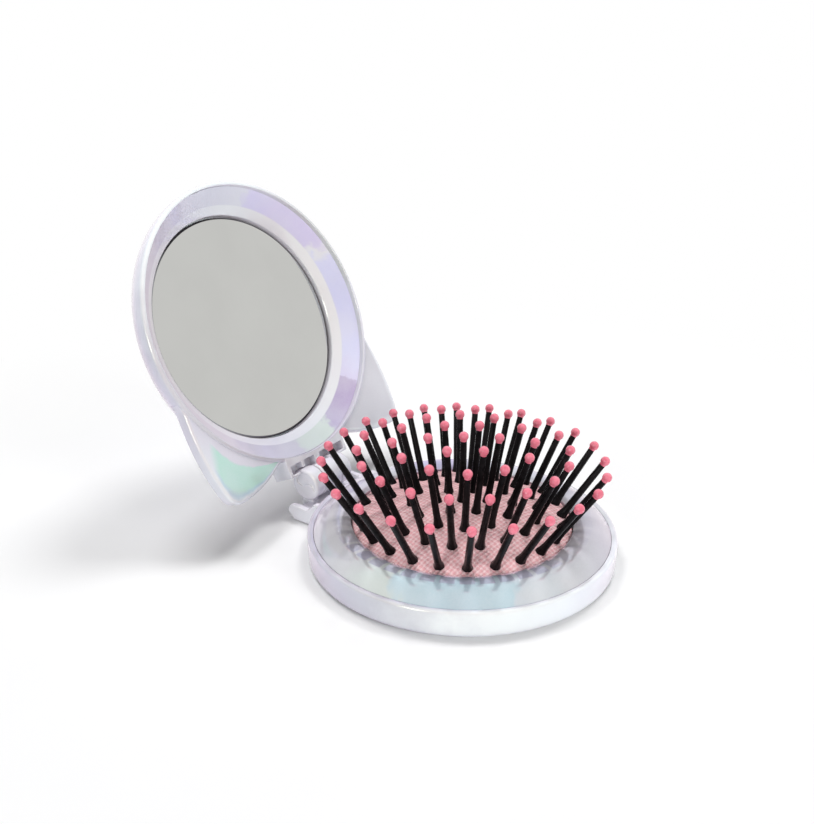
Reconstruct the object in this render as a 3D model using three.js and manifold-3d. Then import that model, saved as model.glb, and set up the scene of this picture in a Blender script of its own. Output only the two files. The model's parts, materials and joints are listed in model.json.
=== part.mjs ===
// Pocket styling brush with a mirror: a round compact whose lid, with two pointed ears beside the hinge,
// holds the mirror, and whose base holds a domed rubber cushion of 61 ball-tipped pins.
// Millimetres, +Z up. The underside of the base lies on z = 0 and the hinge is on the +Y side.
// The lid stands open, as it does in use.

import * as THREE from "three";
import { mergeVertices } from "three/addons/utils/BufferGeometryUtils.js";
import Module from "manifold-3d";

const wasm = await Module();
wasm.setup();

// Fits and counts
const fitGap = 0.3;
const cutOverrun = 2;
const weldTolerance = 1e-4;
const roundSides = 60;
const padSides = 36;
const smallSides = 20;
const pinSides = 8;
const holeSides = 6;
const roundSteps = 2;
const straightAngle = Math.PI;

// Case, shared by base and lid
const caseRadius = 36;
const rimEdgeRound = 0.7;

// Base shell: an outer wall and a ring of floor round an open bore
const baseRimHeight = 6.4;
const baseWall = 1.4;
const baseFloor = 1.6;
const baseFloorWidth = 9;
const baseFootRound = 1.1;

// Base collar: the crowned band between the rim and the cushion. The share is of its width, from the cushion.
const collarWidth = 8.5;
const collarCrownShare = 0.365;
const collarCrownHeight = 3.05;
const collarInnerDrop = 0.85;
const collarPlateDrop = 1.3;
const collarLegWall = 1.3;
const collarCreaseDrop = 0.25;
const collarRiseSteps = 6;
const collarFallSteps = 3;

// Cushion: a domed rubber diaphragm with a skirt and a clamped flange
const cushionEdgeDrop = 0.4;
const cushionCrown = 4.8;
const cushionWall = 1.6;
const cushionEdgeRound = 0.5;
const skirtWall = 0.9;
const flangeWidth = 4.5;
const flangeWall = 1;
const cushionSteps = 3;

// Pins: rings of 6, 12, 18 and 24 round one in the middle. The inner rings share a carrier plate,
// the middle and the outer ring stand on arcs that lean as the pad sinks.
const carrierRings = 2;
const middleRing = 3;
const outerRing = 4;
const pinsPerRingStep = 6;
const middleArcs = 6;
const outerArcs = 12;
const footMargin = 2.3;
const tipSplay = 2.3;
const pinLength = 16.3;
const tipDomeRadius = 88;
const padTurn = THREE.MathUtils.degToRad(5.5);
const pinFootRadius = 1.3;
const pinFlareLength = 2.4;
const pinLowerRadius = 0.86;
const pinUpperRadius = 0.74;
const pinBallRadius = 1.1;
const pinPlateWall = 1;
const pinPlateMargin = 0.45;
const pinPlateSteps = 2;

// Hinge between base and lid
const hingeReach = 6;
const hingeRise = 1;
const knuckleRadius = 4.1;
const knuckleEdgeRound = 0.8;
const barrelHalfLength = 7;
const lidKnuckleHalfLength = 3.1;
const hingePinRadius = 1;
const hingePinEndWall = 1;
const knuckleMarkDepth = 0.35;
const knuckleMarkMargin = 0.9;

// Hinge lug on the base, with a turned-up horn at each end
const lugHalfWidth = 12;
const lugUnderside = 0.7;
const lugTop = 2.8;
const lugRootHeight = 4.9;
const lugRootDepth = 3;
const hornHeight = 4.7;
const hornWidth = 3.6;
const hornLength = 2.6;
const hornReach = 1.8;
const neckLength = 3.6;

// Lid shell, measured from its rim along its own depth
const openAngle = THREE.MathUtils.degToRad(115.2);
const lidRimWall = 1.1;
const lidBackWall = 1.5;
const lidSideDepth = 1;
const lidBackRound = 7.7;
const lidDomeSag = 0.8;
const lidBackSteps = 6;
const lidCrownSteps = 2;

// Ears of the lid: leaves beside the hinge that lean forward as they leave the wall. The outline's corners
// are shares of the case's radius, and the lean is how far a point moves forward per length outside the wall.
const earStartAngle = THREE.MathUtils.degToRad(21.5);
const earEndAngle = THREE.MathUtils.degToRad(70.8);
const earBulgeShare = { x: 0.982, y: 0.7 };
const earSideEndShare = { x: 0.915, y: 0.965 };
const earTipShare = { x: 0.895, y: 1.056 };
const earTipEndShare = { x: 0.8, y: 1.057 };
const earFootShare = { x: 0.556, y: 1.054 };
const earLean = 0.21;
const earFaceDepth = 0.45;
const earThickness = 3.6;
const earEdgeRound = 0.8;
const earEdgeSteps = 2;
const earSteps = 6;

// Hinge boss of the lid, with relief pockets between ribs
const bossHalfWidth = 10.8;
const bossLength = 2.9;
const bossDepth = 6;
const bossRib = 0.9;
const bossPocketDepth = 2.6;
const bossPocketLength = 1.6;
const armThickness = 5.4;

// Mirror and its frame in the lid
const bandWidth = 5;
const bandStartDepth = 1.3;
const bandHollow = 0.35;
const bandSteps = 4;
const bezelWidth = 2;
const bezelFall = 1.7;
const bezelLip = 1;
const frameEdgeWall = 1.6;
const frameSeatWidth = 1.6;
const mirrorDepth = 7.2;
const mirrorThickness = 1;
const mirrorBevel = 0.5;
const mirrorPadWall = 0.3;
const mirrorPadInset = 3;

// Sizes that follow from the ones above
const shellBore = caseRadius - baseWall;
const baseBoreRadius = caseRadius - baseFloorWidth;
const collarRadius = shellBore - fitGap;
const collarBore = collarRadius - collarWidth;
const collarLegBore = collarRadius - collarLegWall;
const collarUnderside = baseRimHeight - collarPlateDrop;
const cushionRadius = collarBore - fitGap;
const cushionEdgeHeight = baseRimHeight + collarCrownHeight - collarInnerDrop - cushionEdgeDrop;
const flangeRadius = cushionRadius + flangeWidth;
const flangeTop = collarUnderside - fitGap;
const flangeBottom = flangeTop - flangeWall;
const clampBottom = baseFloor + fitGap;
const clampTop = flangeBottom - fitGap;
const clampOuterRadius = collarLegBore - fitGap;
const cushionSphere = (cushionRadius ** 2 + cushionCrown ** 2) / (2 * cushionCrown);
const cushionApex = cushionEdgeHeight + cushionCrown;
const cushionCentre = cushionApex - cushionSphere;
const footSpacing = (cushionRadius - footMargin) / outerRing;
const tipSpacing = footSpacing + tipSplay;
const tipApexHeight = cushionApex + pinLength;
const plateTop = cushionSphere - cushionWall - fitGap;
const plateBottom = plateTop - pinPlateWall;
const hingeBackset = caseRadius + hingeReach;
const hingeHeight = baseRimHeight + hingeRise;
const knuckleClearRadius = knuckleRadius + fitGap;
const lugEnd = hingeBackset + hornReach;
const bossEnd = caseRadius + bossLength;
const lidRimHeight = baseRimHeight + fitGap;
const lidBore = caseRadius - lidRimWall;
const earRootRadius = lidBore - fitGap;
const frameRadius = lidBore - fitGap;
const frameEdgeDepth = bandStartDepth + frameEdgeWall;
const bandEndRadius = caseRadius - bandWidth;
const bezelInnerRadius = bandEndRadius - bezelWidth;
const bezelEndDepth = mirrorDepth - bezelLip;
const bandEndDepth = bezelEndDepth - bezelFall;
const frameSeatRadius = bezelInnerRadius + frameSeatWidth;
const mirrorRadius = bezelInnerRadius - fitGap;
const mirrorPadRadius = mirrorRadius - mirrorPadInset;
const mirrorBack = mirrorDepth + mirrorThickness;
const mirrorPadBack = mirrorBack + fitGap + mirrorPadWall;
const cavityDepth = mirrorPadBack + fitGap;
const lidDepth = cavityDepth + lidBackWall;

const pearl = { color: 0xe9e6ee, roughness: 0.18, metalness: 0.05 };
const finishes = {
  shell: new THREE.MeshStandardMaterial(pearl),
  band: new THREE.MeshStandardMaterial({ ...pearl, color: 0xdfe3ee }),
  hidden: new THREE.MeshStandardMaterial({ color: 0xd8d8dc, roughness: 0.5, metalness: 0 }),
  cushion: new THREE.MeshStandardMaterial({ color: 0xe2aaac, roughness: 0.75, metalness: 0 }),
  pin: new THREE.MeshStandardMaterial({ color: 0x1b191a, roughness: 0.38, metalness: 0 }),
  steel: new THREE.MeshStandardMaterial({ color: 0xb9bbbf, roughness: 0.25, metalness: 1 }),
  mirror: new THREE.MeshStandardMaterial({ color: 0xc4c4c1, roughness: 0.03, metalness: 1 }),
  foam: new THREE.MeshStandardMaterial({ color: 0x6b6b6b, roughness: 0.9, metalness: 0 }),
};

// Solids

function signedVolume(geometry) {
  const position = geometry.attributes.position;
  const index = geometry.index;
  const corners = [new THREE.Vector3(), new THREE.Vector3(), new THREE.Vector3()];
  let sum = 0;
  for (let i = 0; i < index.count; i += 3) {
    corners.forEach((corner, k) => corner.fromBufferAttribute(position, index.getX(i + k)));
    sum += corners[0].dot(corners[1].cross(corners[2]));
  }
  return sum;
}

function solidOf(geometry) {
  const bare = geometry.clone();
  bare.deleteAttribute("normal");
  bare.deleteAttribute("uv");
  const merged = mergeVertices(bare, weldTolerance);
  const triangles = [];
  for (let i = 0; i < merged.index.count; i += 3) {
    const [a, b, c] = [0, 1, 2].map((k) => merged.index.getX(i + k));
    if (a !== b && b !== c && c !== a) triangles.push(a, b, c);
  }
  if (signedVolume(merged) < 0) triangles.reverse();
  const vertProperties = new Float32Array(merged.attributes.position.array);
  const triVerts = new Uint32Array(triangles);
  return new wasm.Manifold(new wasm.Mesh({ numProp: 3, vertProperties, triVerts }));
}

function meshOf(name, solid, material) {
  const raw = solid.getMesh();
  const geometry = new THREE.BufferGeometry();
  geometry.setAttribute("position", new THREE.BufferAttribute(new Float32Array(raw.vertProperties), 3));
  geometry.setIndex(new THREE.BufferAttribute(new Uint32Array(raw.triVerts), 1));
  geometry.computeVertexNormals();
  const mesh = new THREE.Mesh(geometry, material);
  mesh.name = name;
  return mesh;
}

function united(...solids) {
  return wasm.Manifold.union(solids);
}

function point(x, y) {
  return new THREE.Vector2(x, y);
}

// Turns a profile of (radius, height) points round the Z axis.
function revolve(profile, sides = roundSides) {
  const geometry = new THREE.LatheGeometry(profile, sides);
  geometry.rotateX(straightAngle / 2);
  return solidOf(geometry);
}

// Turns a closed loop of (radius, height) points round the Z axis.
function revolveRing(loop, sides = roundSides) {
  return revolve([...loop, loop[0]], sides);
}

function disc(radius, bottom, top, sides = roundSides) {
  return revolve([point(0, bottom), point(radius, bottom), point(radius, top), point(0, top)], sides);
}

// Extrudes a shape drawn in X and Y from bottom to top.
function extrude(shape, bottom, top) {
  const geometry = new THREE.ExtrudeGeometry(shape, {
    depth: top - bottom,
    bevelEnabled: false,
    curveSegments: earSteps,
  });
  geometry.translate(0, 0, bottom);
  return solidOf(geometry);
}

// Extrudes a shape drawn in (Y, Z) along X, from low to high.
function extrudeAlongX(shape, low, high) {
  const geometry = new THREE.ExtrudeGeometry(shape, {
    depth: high - low,
    bevelEnabled: false,
    curveSegments: earSteps,
  });
  geometry.translate(0, 0, low);
  geometry.applyMatrix4(new THREE.Matrix4().set(0, 0, 1, 0, 1, 0, 0, 0, 0, 1, 0, 0, 0, 0, 0, 1));
  return solidOf(geometry);
}

function block(lowX, highX, lowY, highY, lowZ, highZ) {
  const geometry = new THREE.BoxGeometry(highX - lowX, highY - lowY, highZ - lowZ);
  geometry.translate((lowX + highX) / 2, (lowY + highY) / 2, (lowZ + highZ) / 2);
  return solidOf(geometry);
}

// A cylinder along X through (y, z), its ends rounded by edgeRound.
function rodAlongX(radius, low, high, y, z, edgeRound = 0) {
  const edge = roundedCorner(point(radius, low), point(-1, 1), edgeRound);
  const far = roundedCorner(point(radius, high), point(-1, -1), edgeRound).reverse();
  const profile = [point(0, low), ...edge, ...far, point(0, high)];
  const geometry = new THREE.LatheGeometry(profile, smallSides);
  geometry.rotateZ(-straightAngle / 2);
  geometry.translate(0, y, z);
  return solidOf(geometry);
}

// Points of a quarter round that replaces a corner, from its face side to its wall side.
function roundedCorner(corner, inward, radius, steps = roundSteps) {
  if (radius === 0) return [corner];
  return Array.from({ length: steps + 1 }, (_, i) => {
    const angle = (straightAngle / 2) * (i / steps);
    return point(
      corner.x + inward.x * radius * (1 - Math.sin(angle)),
      corner.y + inward.y * radius * (1 - Math.cos(angle)),
    );
  });
}

// Base

function baseShell() {
  const foot = roundedCorner(point(caseRadius, 0), point(-1, 1), baseFootRound);
  const rim = roundedCorner(point(caseRadius, baseRimHeight), point(-1, -1), rimEdgeRound).reverse();
  const wall = revolveRing([
    point(baseBoreRadius, 0),
    ...foot,
    ...rim,
    point(shellBore, baseRimHeight - collarCreaseDrop),
    point(shellBore, baseFloor),
    point(baseBoreRadius, baseFloor),
  ]);
  const bore = disc(shellBore, baseFloor, baseRimHeight + cutOverrun);
  return united(wall, hingeLug().subtract(bore)).subtract(hingeBores());
}

function hingeLug() {
  const root = caseRadius - lugRootDepth;
  const hornStart = lugEnd - hornLength / 2;
  const horn = new THREE.Shape();
  horn.moveTo(root, lugUnderside);
  horn.lineTo(root, lugRootHeight);
  horn.lineTo(caseRadius, lugRootHeight);
  horn.quadraticCurveTo((caseRadius + lugEnd) / 2, lugUnderside, hornStart, hornHeight);
  horn.quadraticCurveTo(lugEnd, hornHeight, lugEnd, (hornHeight + lugUnderside) / 2);
  horn.lineTo(hornStart, lugUnderside);
  const plate = block(-lugHalfWidth, lugHalfWidth, root, hornStart, lugUnderside, lugTop);
  const right = extrudeAlongX(horn, lugHalfWidth - hornWidth, lugHalfWidth);
  return united(plate, right, right.mirror([1, 0, 0]), ...baseKnuckles());
}

function baseKnuckles() {
  const inner = lidKnuckleHalfLength + fitGap;
  const neckLow = hingeBackset - neckLength / 2;
  const knuckle = united(
    rodAlongX(knuckleRadius, inner, barrelHalfLength, hingeBackset, hingeHeight, knuckleEdgeRound),
    block(
      inner + knuckleEdgeRound,
      barrelHalfLength - knuckleEdgeRound,
      neckLow,
      neckLow + neckLength,
      lugTop - lugUnderside,
      hingeHeight,
    ),
  );
  return [knuckle, knuckle.mirror([1, 0, 0])];
}

// The bore of the hinge pin, open on the +X side, and the stepped mark on the other end.
function hingeBores() {
  const bore = rodAlongX(
    hingePinRadius + fitGap,
    hingePinEndWall - barrelHalfLength,
    barrelHalfLength + cutOverrun,
    hingeBackset,
    hingeHeight,
  );
  return united(bore, knuckleMark());
}

function knuckleMark() {
  const radius = knuckleRadius - knuckleMarkMargin;
  const mark = new THREE.Shape();
  mark.absarc(0, 0, radius, straightAngle / 4, (straightAngle * 5) / 4, false);
  const half = radius / 2;
  const lean = half * Math.SQRT1_2;
  mark.absarc(-lean, -lean, half, (straightAngle * 5) / 4, straightAngle / 4, true);
  mark.absarc(lean, lean, half, (straightAngle * 5) / 4, straightAngle / 4, false);
  const cut = extrudeAlongX(mark, -barrelHalfLength - cutOverrun, knuckleMarkDepth - barrelHalfLength);
  return cut.translate([0, hingeBackset, hingeHeight]);
}

function hingePin() {
  const low = hingePinEndWall + fitGap - barrelHalfLength;
  return rodAlongX(hingePinRadius, low, barrelHalfLength, hingeBackset, hingeHeight);
}

// The collar's crown rises from the crease at the rim, rolls over and falls to the cushion.
function collarCrownLine() {
  const crease = point(collarRadius, baseRimHeight - collarCreaseDrop);
  const crownRadius = collarBore + collarCrownShare * collarWidth;
  const crown = point(crownRadius, baseRimHeight + collarCrownHeight);
  const end = point(collarBore, crown.y - collarInnerDrop);
  const rise = new THREE.QuadraticBezierCurve(crease, point((crease.x + crown.x) / 2, crown.y), crown);
  const fall = new THREE.QuadraticBezierCurve(crown, point((crown.x + end.x) / 2, crown.y), end);
  return [...rise.getPoints(collarRiseSteps), ...fall.getPoints(collarFallSteps).slice(1)];
}

function baseCollar() {
  return revolveRing([
    ...collarCrownLine(),
    point(collarBore, collarUnderside),
    point(collarLegBore, collarUnderside),
    point(collarLegBore, clampBottom),
    point(collarRadius, clampBottom),
  ]);
}

function cushionClampRing() {
  return revolveRing([
    point(collarBore, clampBottom),
    point(clampOuterRadius, clampBottom),
    point(clampOuterRadius, clampTop),
    point(collarBore, clampTop),
  ]);
}

// Cushion and pins

function heightOnSphere(radius, sphere) {
  return cushionCentre + Math.sqrt(sphere ** 2 - radius ** 2);
}

function sphereArc(fromRadius, toRadius, sphere, steps) {
  return Array.from({ length: steps + 1 }, (_, i) => {
    const radius = fromRadius + (toRadius - fromRadius) * (i / steps);
    return point(radius, heightOnSphere(radius, sphere));
  });
}

function cushionBody() {
  const inner = cushionSphere - cushionWall;
  const skirtBore = cushionRadius - skirtWall;
  const crownEdge = cushionRadius - cushionEdgeRound;
  const profile = [
    ...sphereArc(0, crownEdge, cushionSphere, cushionSteps),
    point(cushionRadius, heightOnSphere(crownEdge, cushionSphere) - cushionEdgeRound),
    point(cushionRadius, flangeTop),
    point(flangeRadius, flangeTop),
    point(flangeRadius, flangeBottom),
    point(skirtBore, flangeBottom),
    ...sphereArc(skirtBore, 0, inner, cushionSteps),
  ];
  return revolve(profile, padSides);
}

// Where pin i of a ring stands: its foot on the cushion, its ball and the angle round the cushion.
function pinPlace(ring, i) {
  const angle = padTurn + (ring === 0 ? 0 : (i * 2 * straightAngle) / (ring * pinsPerRingStep));
  const footRadius = ring * footSpacing;
  const tipRadius = ring * tipSpacing;
  const tipDrop = tipDomeRadius - Math.sqrt(tipDomeRadius ** 2 - tipRadius ** 2);
  const around = new THREE.Vector3(Math.cos(angle), Math.sin(angle), 0);
  const foot = around.clone().multiplyScalar(footRadius);
  foot.z = heightOnSphere(footRadius, cushionSphere);
  const tip = around.clone().multiplyScalar(tipRadius);
  tip.z = tipApexHeight - tipDrop;
  return { angle, foot, tip };
}

// Sets a geometry made along +Y on a pin's axis, with y = 0 at the foot.
function setOnPin(geometry, place) {
  const axis = place.tip.clone().sub(place.foot).normalize();
  const turn = new THREE.Quaternion().setFromUnitVectors(new THREE.Vector3(0, 1, 0), axis);
  geometry.applyQuaternion(turn);
  geometry.translate(...place.foot);
  return solidOf(geometry);
}

function pinSolid(place) {
  const length = place.tip.distanceTo(place.foot);
  const rootDepth = cushionWall + fitGap + pinPlateWall / 2;
  const slant = pinBallRadius * Math.SQRT1_2;
  const profile = [
    point(0, -rootDepth),
    point(pinFootRadius, -rootDepth),
    point(pinLowerRadius, pinFlareLength),
    point(pinUpperRadius, length - slant),
    point(pinBallRadius, length),
    point(slant, length + slant),
    point(0, length + pinBallRadius),
  ];
  return setOnPin(new THREE.LatheGeometry(profile, pinSides), place);
}

function pinHole(place) {
  const radius = (pinFootRadius + fitGap) / Math.cos(straightAngle / holeSides);
  const depth = cushionWall + cutOverrun;
  const geometry = new THREE.CylinderGeometry(radius, radius, depth + cutOverrun, holeSides);
  geometry.translate(0, (cutOverrun - depth) / 2, 0);
  return setOnPin(geometry, place);
}

function ringPlaces(ring) {
  const count = Math.max(1, ring * pinsPerRingStep);
  return Array.from({ length: count }, (_, i) => pinPlace(ring, i));
}

function allPlaces() {
  return Array.from({ length: outerRing + 1 }, (_, ring) => ringPlaces(ring)).flat();
}

function bristleCushion() {
  return cushionBody().subtract(united(...allPlaces().map(pinHole)));
}

// The radius at which a ring's pins enter the plates under the cushion.
function rootRadius(ring) {
  const { foot, tip } = pinPlace(ring, 0);
  const axis = tip.clone().sub(foot).normalize();
  const depth = cushionWall + fitGap + pinPlateWall / 2;
  return ring * footSpacing - depth * Math.hypot(axis.x, axis.y);
}

// A band of the spherical plate under the cushion, from one radius to another.
function plateBand(fromRadius, toRadius) {
  const loop = [
    ...sphereArc(fromRadius, toRadius, plateTop, 1),
    ...sphereArc(toRadius, fromRadius, plateBottom, 1),
  ];
  return revolveRing(loop, padSides);
}

function innerPinCarrier() {
  const radius = rootRadius(carrierRings) + pinFootRadius + pinPlateMargin;
  const top = sphereArc(0, radius, plateTop, pinPlateSteps);
  const bottom = sphereArc(radius, 0, plateBottom, pinPlateSteps);
  const plate = revolve([...top, ...bottom], smallSides);
  const places = Array.from({ length: carrierRings + 1 }, (_, ring) => ringPlaces(ring)).flat();
  return united(plate, ...places.map(pinSolid));
}

// A wedge round the Z axis, centred on an angle, as tall as the pad.
function wedge(angle, halfSpread) {
  const reach = caseRadius * 2;
  const side = Math.tan(halfSpread) * reach;
  const shape = new THREE.Shape([point(0, 0), point(reach, -side), point(reach, side)]);
  return extrude(shape, 0, cushionApex).rotate([0, 0, THREE.MathUtils.radToDeg(angle)]);
}

// One arc of an outer ring: its pins, joined under the cushion by a slice of plate.
function pinArc(ring, arc, arcCount) {
  const count = ring * pinsPerRingStep;
  const perArc = count / arcCount;
  const places = ringPlaces(ring).slice(arc * perArc, (arc + 1) * perArc);
  const middle = (places[0].angle + places[perArc - 1].angle) / 2;
  const halfWidth = pinFootRadius + pinPlateMargin;
  const centre = rootRadius(ring);
  const endTrim = (fitGap + pinPlateMargin) / centre;
  const plate = plateBand(centre - halfWidth, centre + halfWidth);
  const slice = plate.intersect(wedge(middle, straightAngle / arcCount - endTrim));
  return united(slice, ...places.map(pinSolid));
}

// Lid, drawn shut: z is the depth from its rim, away from the base

// The wall's outer line: the rim's rounded edge, a short straight side and a long round into the back.
function lidOutline() {
  const rim = roundedCorner(point(caseRadius, 0), point(-1, 1), rimEdgeRound);
  const rise = lidDepth - lidDomeSag - lidSideDepth;
  const round = Array.from({ length: lidBackSteps + 1 }, (_, i) => {
    const angle = (straightAngle / 2) * (i / lidBackSteps);
    const radius = caseRadius - lidBackRound * (1 - Math.cos(angle));
    return point(radius, lidSideDepth + rise * Math.sin(angle));
  });
  return [...rim, ...round];
}

function lidBody() {
  const edge = caseRadius - lidBackRound;
  const crown = Array.from({ length: lidCrownSteps }, (_, i) => {
    const radius = edge * (1 - (i + 1) / lidCrownSteps);
    return point(radius, lidDepth - lidDomeSag * (radius / edge) ** 2);
  });
  return revolve([point(0, 0), ...lidOutline(), ...crown]);
}

// The room for the frame, the mirror and its pad, stepped as they are.
function lidCavity() {
  const seatDepth = mirrorBack + fitGap;
  return revolve([
    point(0, -cutOverrun),
    point(lidBore, -cutOverrun),
    point(lidBore, frameEdgeDepth + fitGap),
    point(frameSeatRadius + fitGap, seatDepth),
    point(mirrorPadRadius + fitGap, seatDepth),
    point(mirrorPadRadius + fitGap, cavityDepth),
    point(0, cavityDepth),
  ]);
}

function rimPoint(angle) {
  return point(caseRadius * Math.cos(angle), caseRadius * Math.sin(angle));
}

function onCase(share) {
  return [share.x * caseRadius, share.y * caseRadius];
}

function earShape() {
  const start = rimPoint(earStartAngle);
  const end = rimPoint(earEndAngle);
  const shape = new THREE.Shape();
  shape.moveTo(start.x, start.y);
  shape.quadraticCurveTo(...onCase(earBulgeShare), ...onCase(earSideEndShare));
  shape.quadraticCurveTo(...onCase(earTipShare), ...onCase(earTipEndShare));
  shape.quadraticCurveTo(...onCase(earFootShare), end.x, end.y);
  shape.absarc(0, 0, earRootRadius, earEndAngle, earStartAngle, true);
  return shape;
}

// Moves each point forward by how far it stands outside the wall.
function leanForward(geometry) {
  const position = geometry.attributes.position;
  for (let i = 0; i < position.count; i += 1) {
    const outside = Math.max(0, Math.hypot(position.getX(i), position.getY(i)) - caseRadius);
    position.setZ(i, position.getZ(i) - earLean * outside);
  }
  return geometry;
}

function earSolid() {
  const geometry = new THREE.ExtrudeGeometry(earShape(), {
    depth: earThickness - 2 * earEdgeRound,
    bevelEnabled: true,
    bevelThickness: earEdgeRound,
    bevelSize: earEdgeRound,
    bevelOffset: -earEdgeRound,
    bevelSegments: earEdgeSteps,
    curveSegments: earSteps,
  });
  geometry.translate(0, 0, earFaceDepth + earEdgeRound);
  return solidOf(leanForward(geometry));
}

function bossSolid() {
  const root = caseRadius - lugRootDepth;
  const boss = block(-bossHalfWidth, bossHalfWidth, root, bossEnd, 0, bossDepth);
  const clear = rodAlongX(
    knuckleClearRadius,
    -barrelHalfLength - fitGap,
    barrelHalfLength + fitGap,
    hingeBackset,
    hingeDepth(),
  );
  return united(boss.subtract(clear), lidKnuckle());
}

// The hinge axis, as a depth from the lid's rim with the lid shut.
function hingeDepth() {
  return hingeHeight - lidRimHeight;
}

function lidKnuckle() {
  const axis = hingeDepth();
  const arm = block(
    -lidKnuckleHalfLength,
    lidKnuckleHalfLength,
    caseRadius - lugRootDepth,
    hingeBackset,
    axis,
    axis + armThickness - fitGap,
  );
  const knuckle = rodAlongX(knuckleRadius, -lidKnuckleHalfLength, lidKnuckleHalfLength, hingeBackset, axis);
  const trimmed = arm.intersect(
    united(
      rodAlongX(knuckleRadius, -barrelHalfLength, barrelHalfLength, hingeBackset, axis),
      block(-barrelHalfLength, barrelHalfLength, 0, hingeBackset - knuckleRadius / 2, 0, bossDepth * 2),
    ),
  );
  return united(knuckle, trimmed);
}

function bossPockets() {
  const low = caseRadius + fitGap;
  const half = bossHalfWidth / 2;
  const cuts = [
    [bossRib, half - bossRib / 2],
    [half + bossRib / 2, bossHalfWidth - bossRib],
  ];
  const high = low + bossPocketLength;
  const right = cuts.map(([from, to]) => block(from, to, low, high, -cutOverrun, bossPocketDepth));
  return united(...right, ...right.map((cut) => cut.mirror([1, 0, 0])));
}

function lidShell() {
  const ear = earSolid();
  const body = united(lidBody(), ear, ear.mirror([1, 0, 0]), bossSolid());
  const boreRadius = hingePinRadius + fitGap;
  const bore = rodAlongX(boreRadius, -barrelHalfLength, barrelHalfLength, hingeBackset, hingeDepth());
  return body.subtract(united(lidCavity(), bossPockets(), bore));
}

// The band round the mirror falls in a shallow hollow to the bezel, and the bezel to the glass.
function bandLine() {
  const start = point(frameRadius, bandStartDepth);
  const end = point(bandEndRadius, bandEndDepth);
  const bend = point((start.x + end.x) / 2 - bandHollow, (start.y + end.y) / 2 + bandHollow);
  const curve = new THREE.QuadraticBezierCurve(start, bend, end);
  return curve.getPoints(bandSteps);
}

function mirrorFrame() {
  return revolveRing([
    ...bandLine(),
    point(bezelInnerRadius, bezelEndDepth),
    point(bezelInnerRadius, mirrorBack),
    point(frameSeatRadius, mirrorBack),
    point(frameRadius, frameEdgeDepth),
  ]);
}

function mirrorGlass() {
  return revolve([
    point(0, mirrorDepth),
    point(mirrorRadius - mirrorBevel, mirrorDepth),
    point(mirrorRadius, mirrorDepth + mirrorBevel),
    point(mirrorRadius, mirrorBack),
    point(0, mirrorBack),
  ]);
}

function mirrorBackingPad() {
  return disc(mirrorPadRadius, mirrorBack + fitGap, mirrorPadBack);
}

// Assembly

function baseGroup() {
  const group = new THREE.Group();
  group.add(
    meshOf("base_shell", baseShell(), finishes.shell),
    meshOf("base_collar", baseCollar(), finishes.band),
    meshOf("cushion_clamp_ring", cushionClampRing(), finishes.hidden),
    meshOf("hinge_pin", hingePin(), finishes.steel),
  );
  return group;
}

function padGroup() {
  const group = new THREE.Group();
  group.add(
    meshOf("bristle_cushion", bristleCushion(), finishes.cushion),
    meshOf("inner_pins", innerPinCarrier(), finishes.pin),
  );
  for (let arc = 0; arc < middleArcs; arc += 1) {
    group.add(meshOf(`middle_pins_${arc + 1}`, pinArc(middleRing, arc, middleArcs), finishes.pin));
  }
  for (let arc = 0; arc < outerArcs; arc += 1) {
    group.add(meshOf(`outer_pins_${arc + 1}`, pinArc(outerRing, arc, outerArcs), finishes.pin));
  }
  return group;
}

// The lid is drawn shut and turned back about the hinge.
function lidGroup() {
  const shut = new THREE.Group();
  shut.position.set(0, -hingeBackset, lidRimHeight - hingeHeight);
  shut.add(
    meshOf("lid_shell", lidShell(), finishes.shell),
    meshOf("mirror_frame", mirrorFrame(), finishes.band),
    meshOf("mirror_glass", mirrorGlass(), finishes.mirror),
    meshOf("mirror_backing_pad", mirrorBackingPad(), finishes.foam),
  );
  const hinge = new THREE.Group();
  hinge.position.set(0, hingeBackset, hingeHeight);
  hinge.rotation.x = -openAngle;
  hinge.add(shut);
  return hinge;
}

// The whole brush, moved so that the middle of its box stands over the origin.
function brushGroup() {
  const brush = new THREE.Group();
  brush.add(baseGroup(), padGroup(), lidGroup());
  brush.updateMatrixWorld(true);
  const middle = new THREE.Box3().setFromObject(brush, true).getCenter(new THREE.Vector3());
  brush.position.set(-middle.x, -middle.y, 0);
  brush.updateMatrixWorld(true);
  return brush;
}

export default brushGroup();
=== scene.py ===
"""Looks of a folding pocket brush with a mirror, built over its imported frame.

Sizes are in millimetres, and every mesh becomes metres where it is placed on its body.
"""

import json
import logging
import math
from dataclasses import dataclass, field
from enum import Enum
from typing import Sequence

import bmesh
import bpy
from mathutils import Matrix, Quaternion, Vector


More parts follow.
